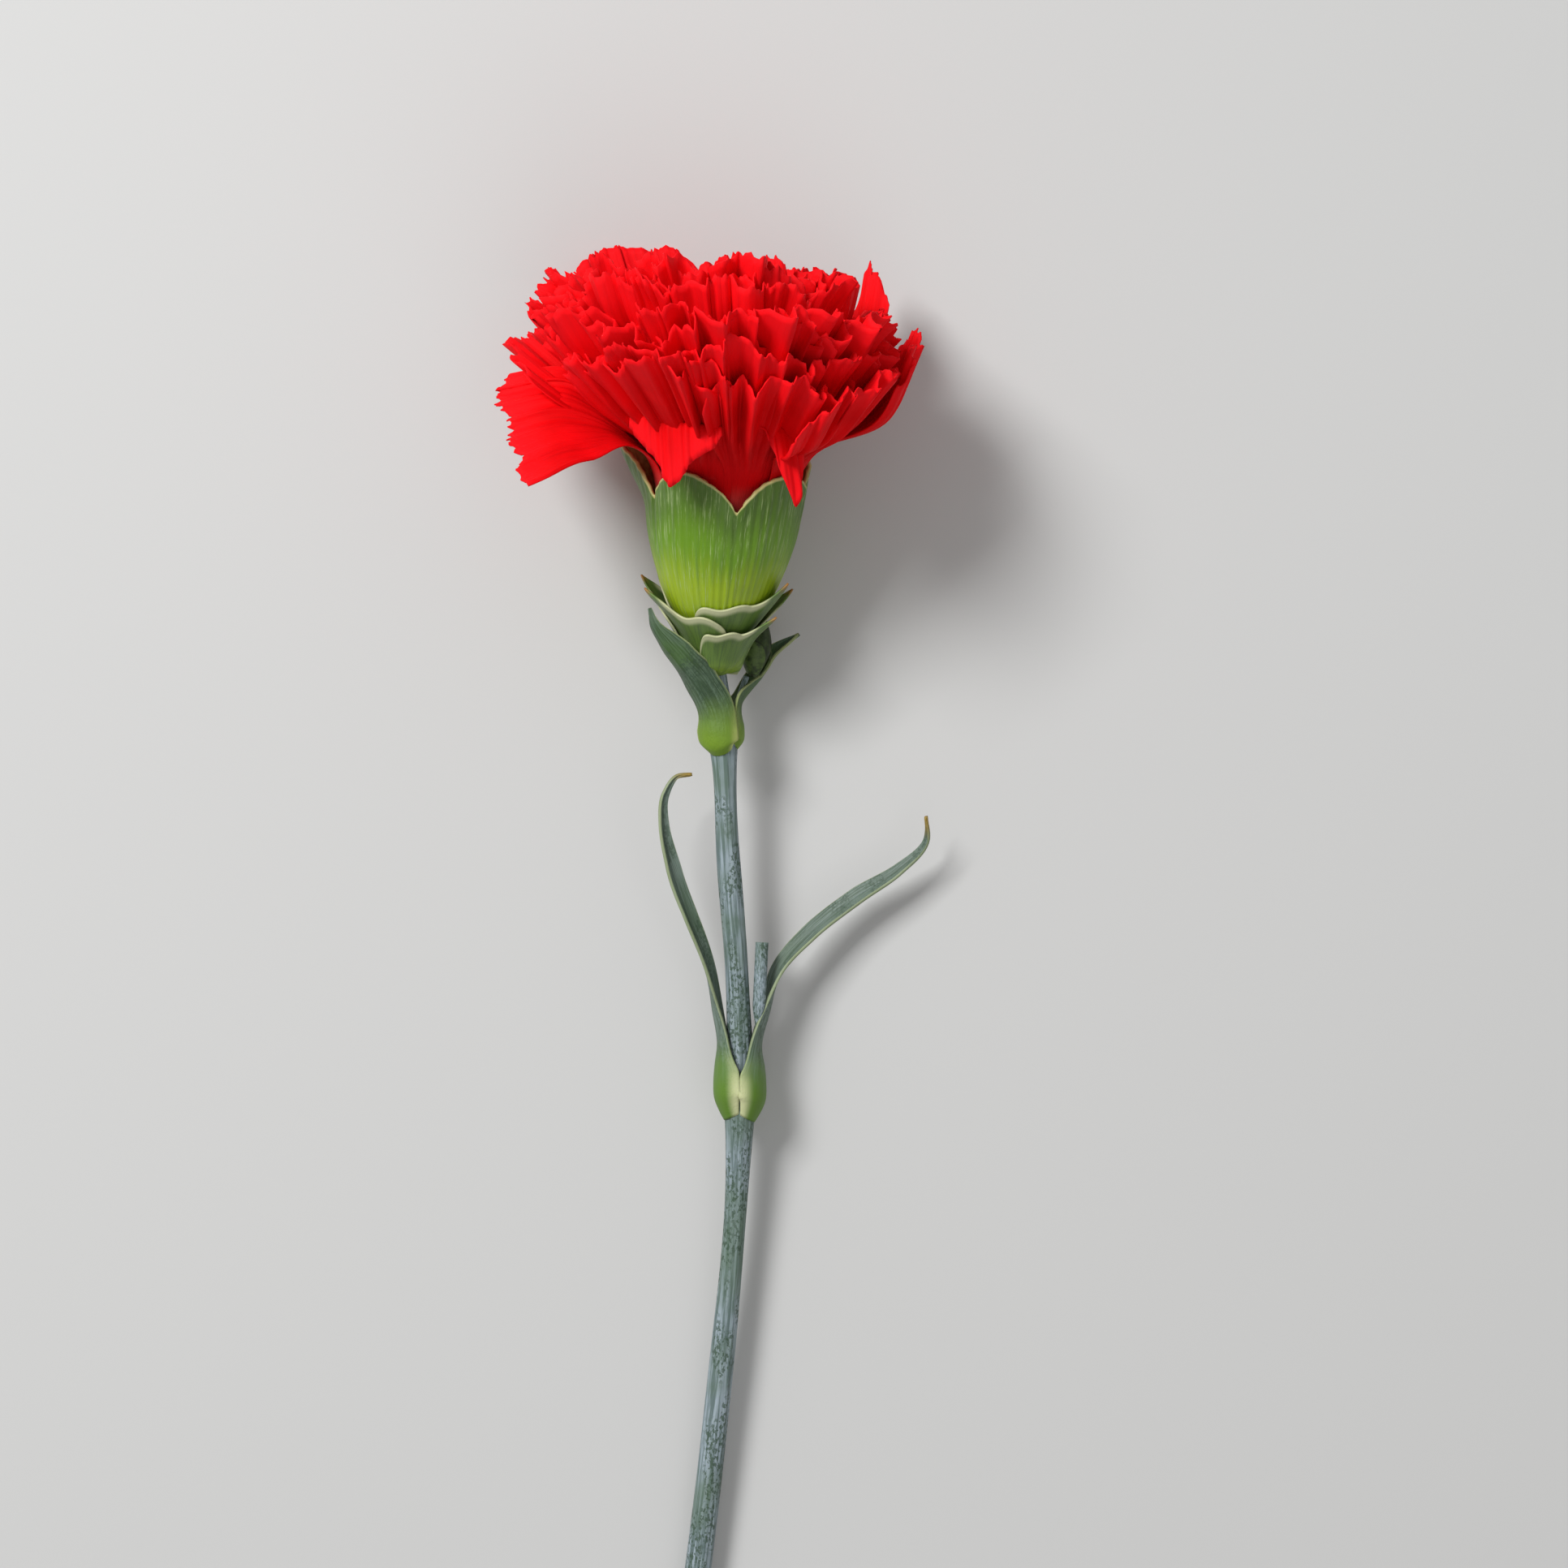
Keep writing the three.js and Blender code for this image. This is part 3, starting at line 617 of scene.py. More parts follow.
@dataclass(frozen=True)
class FloorFinish:
    """Plain pale matt floor with the faintest unevenness."""

    name: str = "pale_floor"
    pale: Triple = srgb(205, 205, 204)
    shade: Triple = srgb(202, 202, 201)
    clouds: Grain = Grain("Object", None, 3.0, 2.0)

    def build(self) -> Material:
        """Make the material."""
        paint = Paint(self.name)
        colour = paint.blend(paint.noise(self.clouds), self.pale, self.shade)
        return paint.finish(colour, Roughness=0.9, Specular_IOR_Level=0.1)


def dress(piece: Piece, material: Material, slot: Slot, *nodes: str) -> Piece:
    """Give a piece its material and its body, and let it stand for its CAD nodes.

    Args:
        piece: the new piece.
        material: its finish.
        slot: not used.
        nodes: CAD nodes that it replaces.

    Returns:
        The piece.
    """
    piece.data.materials.append(material)
    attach(piece, ROOT)
    if nodes:
        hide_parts(*nodes)
    faces = len(piece.data.polygons)
    LOG.info("%s: %d faces, replaces %s", piece.name, faces, ", ".join(nodes) or "nothing")
    return piece


# ---- the flower's frame


@dataclass(frozen=True)
class Route:
    """The flower's middle line: up the stem, then straight along the head's axis."""

    cut_radius: float = 2.3
    first_side_deg: float = 15.0
    length: float = 185.5
    shares: tuple[float, ...] = (0, 0.31, 0.56, 0.62, 0.73, 0.84, 0.935, 1)
    across: tuple[float, ...] = (-7.2, 0.1, 4.3, 4.6, 4.1, 2.6, 1.8, 0.4)
    heights: tuple[float, ...] = (2.3, 4.4, 7.3, 8.2, 9.6, 10.6, 11.8, 13.5)
    tilt_deg: float = 18.0
    lean_deg: float = 4.0

    @property
    def shift(self) -> Array:
        """How far the frame's origin lies from the point below the stem's cut end, from the stem's box."""
        low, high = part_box("stem")
        reach = self.cut_radius * np.cos(np.radians(self.first_side_deg))
        corner = np.array([self.across[0] - reach, 0.0, self.heights[0] - reach])
        return np.array(low) / MM - corner

    @property
    def axis(self) -> Array:
        """Direction of the head's axis."""
        tilt, lean = np.radians([self.tilt_deg, self.lean_deg])
        return np.array([np.sin(lean) * np.cos(tilt), np.cos(lean) * np.cos(tilt), np.sin(tilt)])

    @property
    def right(self) -> Array:
        """The head's side that points towards +X."""
        return unit(np.cross(self.axis, [0.0, 0.0, 1.0]))

    @property
    def front(self) -> Array:
        """The head's side that faces up."""
        return np.cross(self.right, self.axis)

    def at(self, along: Array | float) -> Array:
        """Points of the line at a distance along Y from the cut end."""
        along = np.asarray(along, float)
        stations = np.array(self.shares) * self.length
        x = through(stations, np.array(self.across), along)
        z = through(stations, np.array(self.heights), along)
        on_stem = np.stack([x, np.minimum(along, self.length), z], axis=-1)
        beyond = np.maximum(along - self.length, 0.0) / self.axis[1]
        return on_stem + beyond[..., None] * self.axis + self.shift


@dataclass(frozen=True)
class Head:
    """The flower head's own frame, with the sway of the bloom above the calyx mouth."""

    route: Route
    mouth_height: float = 34.0
    sway_deg: float = 11.0
    settle_deg: float = 5.0
    front_lift: float = 0.2
    lift_height: float = 30.0
    press: float = 0.8

    def place(self, rho: Array, h: Array, azimuth: Array) -> Array:
        """Points at a radius, height and azimuth, swayed sideways above the mouth and laid on the floor.

        Args:
            rho: distance from the axis.
            h: height above the head's foot.
            azimuth: angle round the axis in radians.

        Returns:
            Points in millimetres.
        """
        above = np.maximum(0.0, h - self.mouth_height)
        facing = rho * np.cos(azimuth)
        raised = h + self.front_lift * facing * above / self.lift_height
        aside = rho * np.sin(azimuth) - np.tan(np.radians(self.sway_deg)) * above
        ahead = facing - np.tan(np.radians(self.settle_deg)) * above
        foot = self.route.at(self.route.length)
        points = (
            foot
            + self.route.axis * raised[..., None]
            + self.route.right * aside[..., None]
            + self.route.front * ahead[..., None]
        )
        return self.laid(points)

    def laid(self, points: Array) -> Array:
        """Points eased up on to the floor, by press * log(1 + e^(z / press)): high points stay."""
        floor = self.route.shift[2]
        made = points.copy()
        height = (points[..., 2] - floor) / self.press
        made[..., 2] = floor + self.press * np.logaddexp(0.0, height)
        return made


# ---- calyx and scales


@dataclass
class Calyx:
    """The fused green cup: a turned profile whose rim is cut into rounded teeth."""

    head: Head
    length: float = 34.0
    mouth_radius: float = 13.6
    foot_radius: float = 2.855
    foot_height: float = 2.0
    wall: float = 0.6
    teeth: int = 5
    tooth_depth: float = 6.3
    first_notch_deg: float = 10.0
    level_below: float = 0.4
    crease_depth: float = 0.4
    crease_width: float = 0.1
    rim_curl: float = 0.3
    ribs: int = 55
    rib_height: float = 0.07
    flare: float = 3.4
    flare_deg: float = -98.0
    flare_half_deg: float = 34.0
    collar_height: float = 2.4
    collar_radius: float = 1.7
    rows: int = 84
    columns: int = 240
    profile: tuple[tuple[float, float], ...] = (
        (0.353, 0.141), (0.485, 0.22), (0.61, 0.3), (0.77, 0.462),
        (0.88, 0.624), (0.926, 0.75), (0.97, 0.882), (1, 1),
    )

    def radius(self, h: Array) -> Array:
        """Outer radius of the cup at a height."""
        inner = [
            (self.collar_radius, -self.collar_height),
            (self.foot_radius - 0.3, -0.35 * self.collar_height),
            (self.foot_radius + 0.2, 0.4 * self.foot_height),
        ]
        outer = [(r * self.mouth_radius, y * self.length) for r, y in self.profile]
        points = np.array(inner + outer)
        shares = np.linspace(0, 1, 400)
        line = through(chord_shares(points), points, shares)
        return np.interp(h, line[:, 1], line[:, 0])

    def flared(self, azimuth: Array, h: Array) -> Array:
        """How far the rim leans out on its open side."""
        turn = np.abs((azimuth - np.radians(self.flare_deg) + np.pi) % (2 * np.pi) - np.pi)
        near = 1.0 - smooth(turn, 0.0, np.radians(self.flare_half_deg))
        return self.flare * smooth(h, 0.72 * self.length, self.length) * near

    def drop(self, azimuth: Array) -> Array:
        """Depth of the rim below the tooth tips."""
        swing = np.abs(np.sin(0.5 * self.teeth * (azimuth - np.radians(self.first_notch_deg))))
        return self.tooth_depth * (1.0 - swing**0.7)

    def crease(self, azimuth: Array, h: Array) -> Array:
        """Depth of the groove that runs down from each notch."""
        swing = np.sin(0.5 * self.teeth * (azimuth - np.radians(self.first_notch_deg)))
        groove = self.crease_depth * np.exp(-((swing / self.crease_width) ** 2))
        return groove * smooth(h, 0.4 * self.length, self.length)

    def points(self) -> Array:
        """Radius of the profile round the axis, with fine ribs, the height cut down between the teeth."""
        share = np.linspace(0.0, 1.0, self.rows)[:, None]
        azimuth = np.pi + np.linspace(0.0, 2 * np.pi, self.columns, endpoint=False)[None]
        h = mixed(-self.collar_height, self.length, share)
        h = h - self.drop(azimuth) * smooth(share, self.level_below, 1.0)
        curl = self.rim_curl * smooth(share, 0.9, 1.0) * np.sin(2.5 * self.teeth * azimuth + 1.3)
        ribs = self.rib_height * np.sin(self.ribs * azimuth) * smooth(share, 0.1, 0.3)
        rho = self.radius(h) + self.flared(azimuth, h) + curl + ribs - self.crease(azimuth, h)
        return self.head.place(rho, h, azimuth + 0 * h)

    def build(self, material: Material, lining: Material) -> None:
        """Make the cup, with a paler lining on the inner wall: its own pale green, lightened as painted
        light against the shade inside the cup.
        """
        piece = surface("calyx_cup", self.points(), wrapped=True)
        give_wall(piece, self.wall, -1.0).material_offset = 1
        dress(piece, material, Slot.CALYX, "calyx")
        piece.data.materials.append(lining)


@dataclass(frozen=True)
class ScaleShape:
    """One scale at the foot of the calyx. Its point stands at a share of the width from the middle."""

    name: str
    azimuth_deg: float
    tier: int
    top: float
    half_deg: float
    point: float = 0.0


@dataclass
class CalyxScales:
    """The overlapping scales: each hugs the cup, with broad papery shoulders and one green point."""

    calyx: Calyx
    stand_off: float = 0.5
    tier_step: float = 0.75
    thickness: float = 0.3
    foot_height: float = 0.2
    foot_step: float = 1.1
    tip_lift: float = 1.5
    shoulder: float = 0.74
    point_width: float = 0.42
    keel_height: float = 0.35
    paper_width: float = 1.5
    rows: int = 48
    columns: int = 97
    shapes: tuple[ScaleShape, ...] = (
        ScaleShape("inner_right", 34, 0, 15.4, 66, 0.42),
        ScaleShape("inner_left", -142, 0, 13.5, 64, 0.3),
        ScaleShape("middle_left", -40, 1, 12.6, 62, -0.5),
        ScaleShape("middle_right", 132, 1, 11.6, 60, -0.5),
        ScaleShape("outer_right", 28, 2, 9.6, 52, 0.5),
        ScaleShape("outer_left", -102, 2, 12.6, 40, -0.1),
    )

    def points(self, shape: ScaleShape) -> tuple[Array, Array, Array]:
        """The scale's grid: full width all the way, its upper edge a shoulder with one sharp rise.

        Args:
            shape: the scale.

        Returns:
            Grid from foot to edge, how papery each point is and how near the green point it is.
        """
        v = np.linspace(0.0, 1.0, self.rows)[:, None]
        u = np.linspace(-1.0, 1.0, self.columns)[None]
        near = np.clip(1.0 - np.abs(u - shape.point) / self.point_width, 0.0, 1.0) ** 1.5
        wavy = 0.03 * np.sin(9.0 * u + shape.azimuth_deg)
        edge = (self.shoulder + wavy + (1.0 - self.shoulder) * near) * (1.0 - np.abs(u) ** 7) ** 0.5
        foot = self.foot_height - self.foot_step * shape.tier
        h = mixed(foot, mixed(foot, shape.top, edge), v)
        half = np.radians(shape.half_deg) * mixed(0.85, 1.0, smooth(v, 0, 0.4))
        azimuth = np.radians(shape.azimuth_deg) + half * u
        lift = (self.stand_off + self.tier_step * shape.tier) * smooth(v, -0.1, 0.3)
        lift = lift + self.tip_lift * near * smooth(v, 0.6, 1.0) ** 2
        keel = self.keel_height * near * smooth(v, 0.2, 0.8)
        depth = (1.0 - v) * (shape.top - foot) * edge
        paper = 1.0 - smooth(depth, 0.35 * self.paper_width, self.paper_width)
        paper = paper * (1.0 - smooth(near, 0.25, 0.6))
        tip = smooth(near, 0.7, 0.97) * smooth(v, 0.9, 1.0)
        return self.calyx.head.place(self.calyx.radius(h) + lift + keel, h, azimuth), paper, tip

    def build(self, material: Material) -> None:
        """Make each scale."""
        for shape in self.shapes:
            points, paper, tip = self.points(shape)
            piece = surface(f"green_scale_{shape.name}", points, marks={"paper": paper, "tip": tip})
            give_wall(piece, self.thickness)
            dress(piece, material, Slot.SCALE, f"scale_{shape.name}")


# ---- stem and leaves


@dataclass
class Stem:
    """The stem: a round profile along the middle line, swollen at both joints, cut square at its end."""

    route: Route
    stations: tuple[float, ...] = (
        0, 30, 70, 104, 110, 115, 120, 126, 150, 168, 173.5, 179, 185.5, 190, 196,
    )
    radii: tuple[float, ...] = (
        2.3, 2.15, 2.0, 2.0, 2.3, 2.75, 2.3, 2.0, 1.95, 1.95, 2.4, 1.9, 1.75, 1.9, 2.2,
    )
    sides: int = 72
    rows: int = 420
    rib: float = 0.035
    twist: float = 0.012

    def build(self, material: Material, cut_face: Material) -> None:
        """Make the stem, ribbed very finely, with its pale cut face.

        Args:
            material: the waxy skin.
            cut_face: the flesh of the cut end.
        """
        along = np.linspace(0.0, self.stations[-1], self.rows)
        centres = self.route.at(along)
        radii = through(self.stations, self.radii, along)[:, None]
        angle = np.pi + 2 * np.pi * np.arange(self.sides) / self.sides
        twist = angle[None] + along[:, None] * self.twist
        radii = radii * (1 + 0.5 * self.rib * np.sin(9 * twist) + 0.3 * self.rib * np.sin(17 * twist + 1.0))
        rings = tube(centres, radii, self.sides, start=np.pi)
        piece = surface("flower_stem", rings, wrapped=True, capped=True)
        dress(piece, material, Slot.STEM, "stem")
        show_cut(piece, cut_face, slice(-2 * self.sides, -self.sides))


@dataclass(frozen=True)
class BladeShape:
    """A leaf or bract: where its keel runs, how wide and how cupped it is, and which way it faces.

    The clasp's stations each give a distance past the joint, a radius about the stem and a half angle.
    """

    name: str
    node: str
    joint: float
    clasp_deg: float
    clasp: tuple[tuple[float, float, float], ...]
    beyond: float
    offsets: tuple[tuple[float, float, float], ...]
    widths: tuple[float, ...]
    cups_deg: tuple[float, ...]
    facing: tuple[float, float, float]
    thickness: float = 0.5


@dataclass
class Blades:
    """Leaves and bracts. Each is one sheet: an arc across that clasps the stem and opens into a blade."""

    route: Route
    columns: int = 33
    rows: int = 150
    taper: float = 0.3
    tip_width: float = 0.015
    edge_wave: float = 0.12
    keel_fold: float = 0.25

    def outward(self, shape: BladeShape) -> Array:
        """Direction from the stem's line to the middle of the clasp."""
        angle = np.radians(shape.clasp_deg)
        return self.route.right * np.sin(angle) + self.route.front * np.cos(angle)

    def keel(self, shape: BladeShape) -> tuple[Array, Array, Array, Array]:
        """The keel's points, with the arc's radius, half angle and facing at each.

        Args:
            shape: the blade.

        Returns:
            Points, radii, half angles and facing directions at the shape's stations.
        """
        out = self.outward(shape)
        clasp = [self.route.at(shape.joint + y) + out * radius for y, radius, _ in shape.clasp]
        blade = [
            self.route.at(shape.joint + y) + np.array([x, 0.0, z]) + out * shape.beyond
            for x, y, z in shape.offsets
        ]
        half = np.radians([angle for _, _, angle in shape.clasp] + list(shape.cups_deg))
        blade_radii = np.array(shape.widths) / 2 / np.sin(np.radians(shape.cups_deg))
        radii = np.concatenate([[radius for _, radius, _ in shape.clasp], blade_radii])
        ease = np.linspace(0.0, 1.0, len(shape.offsets) + 1)[1:, None]
        aim = unit(np.asarray(shape.facing, float))
        turned = unit(mixed(out, aim, smooth(ease, 0.0, 0.5)))
        facing = np.vstack([np.tile(out, (len(shape.clasp), 1)), turned])
        return np.array(clasp + blade), radii, half, facing

    def points(self, shape: BladeShape) -> Array:
        """Across the sheet, an arc of the station's radius and half angle about the keel.

        Args:
            shape: the blade.

        Returns:
            Grid from the clasp's foot to the tip.
        """
        keel, radii, half, facing = self.keel(shape)
        stations = chord_shares(keel)
        v = np.linspace(0.0, 1.0, self.rows)
        u = np.linspace(-1.0, 1.0, self.columns)
        line = through(stations, keel, v)
        along = unit(np.gradient(line, axis=0))
        normal = through(stations, facing, v)
        normal = unit(normal - along * np.sum(normal * along, axis=1)[:, None])
        side = np.cross(normal, along)
        angle = through(stations, half, v)
        point = mixed(self.tip_width, 1.0, np.clip((1.0 - v) / self.taper, 0.0, 1.0) ** 0.62)
        radius = through(stations, radii, v) * point
        a = angle[:, None] * u[None]
        aside = np.abs(u)[None]
        wave = self.edge_wave * np.sin(26 * v)[:, None] * aside**2
        fold = self.keel_fold * (1 - aside) ** 3 * smooth(v, 0.1, 0.3)[:, None]
        inward = radius[:, None] * (1.0 - np.cos(a)) + wave - fold
        across = radius[:, None] * np.sin(a)
        return line[:, None] - normal[:, None] * inward[..., None] + side[:, None] * across[..., None]

    def build(self, shape: BladeShape, material: Material, slot: Slot) -> None:
        """Make one blade.

        Args:
            shape: the blade.
            material: its finish.
            slot: its slot.
        """
        piece = surface(shape.name, self.points(shape))
        give_wall(piece, shape.thickness)
        dress(piece, material, slot, shape.node)


LEAF_CLASP = (
    (-4.0, 2.3, 95), (-2.7, 3.05, 92.5), (-0.7, 3.9, 91), (2.2, 4.05, 90), (4.8, 3.8, 88.5), (7.8, 3.3, 64),
)
LEAF_LEFT = BladeShape(
    "long_leaf_left", "leaf_left", 115.0, -90, LEAF_CLASP, 2.0,
    ((-1.85, 14, -0.4), (-2.7, 20.5, 0.8), (-5.3, 29, 2.55), (-7.25, 37, 3.2), (-8.25, 43.5, 2.65),
     (-7.6, 48.7, 1.5), (-5.7, 51.4, 0.8), (-3.3, 51.8, 0.3)),
    (4.0, 3.6, 3.5, 3.3, 3.0, 2.6, 2.2, 1.8), (46, 38, 38, 36, 34, 30, 30, 30), (-0.75, -0.1, -0.65),
)
LEAF_RIGHT = BladeShape(
    "long_leaf_right", "leaf_right", 115.0, 90, LEAF_CLASP, 2.0,
    ((2.75, 14, -1.2), (4.9, 20.5, -2), (10.05, 26, -3.3), (17.95, 32, -4.55), (25.5, 36.6, -4.8),
     (30.25, 41.4, -3.85), (30.3, 45.2, -2.25)),
    (4.0, 3.4, 3.3, 3.2, 3.0, 2.5, 2.2), (44, 34, 32, 30, 28, 26, 26), (0.4, -0.45, -0.8),
)
BRACT_LEFT = BladeShape(
    "leafy_bract_left", "bract_left", 173.5, -24,
    ((-2.9, 2.1, 68), (-1.5, 3.4, 66), (0.8, 3.75, 68), (3.4, 3.35, 72)), 4.05,
    ((-1.55, 9, 0.25), (-3.9, 12.6, 1.6), (-6.4, 15.6, 1.95), (-8.2, 18.4, 1.75), (-9, 21, 0.9)),
    (6.4, 6.4, 5.8, 4.6, 3.2), (66, 60, 56, 52, 48), (-0.72, -0.2, 0.66),
)
BRACT_RIGHT = BladeShape(
    "leafy_bract_right", "bract_right", 173.5, 122,
    ((-2.8, 2.0, 112), (-1.5, 3.1, 110), (0.8, 3.4, 100), (3.0, 3.2, 74)), 2.0,
    ((4.9, 8.8, -4.95), (6.9, 11.6, -5.9), (9.0, 13.9, -6.2), (11.7, 15.9, -5.8)),
    (4.2, 3.6, 3.2, 2.4), (50, 50, 48, 46), (0.6, -0.4, -0.65), 0.45,
)


@dataclass
class ShootStub:
    """The stub of a side shoot in the right leaf's axil, with a pale cut end."""

    route: Route
    joint: float = 115.0
    radius: float = 1.05
    root_radius: float = 0.3
    start: tuple[float, float, float] = (2.9, 9.6, 1.7)
    end: tuple[float, float, float] = (3.6, 24.8, 1.4)
    sides: int = 36
    rows: int = 40

    def build(self, material: Material, cut_face: Material) -> None:
        """Make the stub: a round profile that fills out from its root and ends in a cut.

        Args:
            material: the waxy skin.
            cut_face: the flesh of the cut end.
        """
        share = np.linspace(0.0, 1.0, self.rows)
        line = mixed(np.array(self.start), np.array(self.end), share[:, None])
        radii = mixed(self.root_radius, self.radius, smooth(share, 0.0, 0.35))
        rings = tube(self.route.at(self.joint) + line, radii, self.sides, start=np.pi)
        piece = surface("cut_side_shoot", rings, wrapped=True, capped=True)
        dress(piece, material, Slot.STEM, "side_shoot_stub")
        show_cut(piece, cut_face, slice(-self.sides, None))


@dataclass
class SideBud:
    """The small side bud on its stalk, its green darkened as painted shade, with two scales round its foot.
    """

    radius: float = 2.35
    rib: float = 0.03
    sides: int = 48
    rows: int = 60
    stalk_radius: float = 0.5
    stalk_sides: int = 20
    scale_turns_deg: tuple[tuple[str, float], ...] = (("left", -60.0), ("right", 100.0))
    scale_half_deg: float = 60.0
    scale_from: float = 0.04
    scale_run: float = 0.44
    scale_gap: float = 0.3
    scale_wall: float = 0.25
    scale_grid: tuple[int, int] = (24, 25)
    guide: Triple = (1.0, 0.0, 0.0)

    def bud_line(self) -> Array:
        """The bud's middle line from foot to tip, read from the CAD bud's box."""
        low, high = (np.array(corner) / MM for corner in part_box("side_bud"))
        inset = self.radius * np.array([0.8, 0.0, 1.0])
        return mixed(low + inset, high - inset, np.linspace(0.0, 1.0, self.rows)[:, None])

    def bulge(self) -> Array:
        """Radius along the bud: a sine arch, thinner towards the tip."""
        share = np.linspace(0.0, 1.0, self.rows)
        arch = np.sin(np.pi * np.clip(share, 0.02, 0.985)) ** 0.6
        return self.radius * arch * (1 - 0.35 * smooth(share, 0.4, 1.0))

    def bractlet(self, name: str, turn_deg: float, material: Material) -> None:
        """Make one scale of the bud: an arc round it whose width shrinks to a point.

        Args:
            name: left or right.
            turn_deg: angle of its middle round the bud.
            material: its finish.
        """
        share = np.linspace(0.0, 1.0, self.rows)
        line = self.bud_line()
        v = np.linspace(0.0, 1.0, self.scale_grid[0])
        spot = through(share, line, self.scale_from + self.scale_run * v)
        reach = np.interp(self.scale_from + self.scale_run * v, share, self.bulge()) + self.scale_gap
        width = np.sqrt(np.maximum(1.0 - v**2.4, 0.0002))
        across = np.linspace(-1, 1, self.scale_grid[1])[None] * width[:, None]
        angle = np.radians(turn_deg) + np.radians(self.scale_half_deg) * across
        along = unit(line[-1] - line[0])
        up = unit(np.array(self.guide) - along * along[0])
        spoke = up * np.cos(angle)[..., None] + np.cross(up, along) * np.sin(angle)[..., None]
        wrap = surface(f"bud_bractlet_{name}", spot[:, None] + spoke * reach[:, None, None])
        give_wall(wrap, self.scale_wall)
        dress(wrap, material, Slot.BUD, f"bud_scale_{name}")

    def stalk(self, material: Material) -> None:
        """Make the stalk, corner to corner of the CAD stalk's box."""
        low, high = (np.array(corner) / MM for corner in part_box("bud_stalk"))
        start = np.array([low[0] + self.stalk_radius, low[1], high[2] - self.stalk_radius])
        end = np.array([high[0] - self.stalk_radius, high[1], low[2] + self.stalk_radius])
        line = mixed(start, end, np.linspace(0, 1, self.stalk_sides)[:, None])
        rings = tube(line, np.full(self.stalk_sides, self.stalk_radius), self.stalk_sides)
        piece = surface("green_bud_stalk", rings, wrapped=True, capped=True)
        dress(piece, material, Slot.STEM, "bud_stalk")

    def build(self, green: Material, scale: Material, stem: Material) -> None:
        """Make the bud, its scales and its stalk.

        Args:
            green: finish of the bud.
            scale: finish of its scales.
            stem: finish of the stalk.
        """
        angle = 2 * np.pi * np.arange(self.sides) / self.sides
        radii = self.bulge()[:, None] * (1 + self.rib * np.sin(10 * angle))[None]
        rings = tube(self.bud_line(), radii, self.sides, guide=self.guide)
        piece = surface("green_side_bud", rings, wrapped=True, capped=True)
        dress(piece, green, Slot.BUD, "side_bud")
        for name, turn_deg in self.scale_turns_deg:
            self.bractlet(name, turn_deg, scale)
        self.stalk(stem)


# ---- petals


@dataclass(frozen=True)
class Ring:
    """One ring of petals: how many, and how far their rims stand out and up from the calyx mouth."""

    name: str
    count: int
    out: float
    rise: float
    bend_out: float
    bend_rise: float


@dataclass(frozen=True)
class Guard:
    """One of the lowest petals, which make the bloom's outline, or a folded tip, which has no CAD node."""

    name: str
    azimuth_deg: float
    span_deg: float
    out: float
    rise: float
    bend_out: float
    bend_rise: float
    twist: float
    widen: float = 1.35
    ruffle: float = 1.2
    tooth: float = 1.0
    node: bool = True
    corner: float = 0.26
    corner_power: float = 3.2
    swing_deg: float = 0.0
    hug: float = 0.0


@dataclass
class PetalShape:
    """One petal. Its outline climbs from a narrow claw through the mouth and fans out to a toothed rim."""

    name: str
    order: float
    azimuth: float
    half: float
    out: float
    rise: float
    bend_out: float
    bend_rise: float
    twist: float = 0.0
    ruffle: float = 1.6
    curl: float = 0.3
    crumple: float = 0.0
    tooth: float = 1.0
    corner: float = 0.26
    corner_power: float = 3.2
    swing_deg: float = 0.0
    hug: float = 0.0
    rows: int = 40
    node: str | None = None


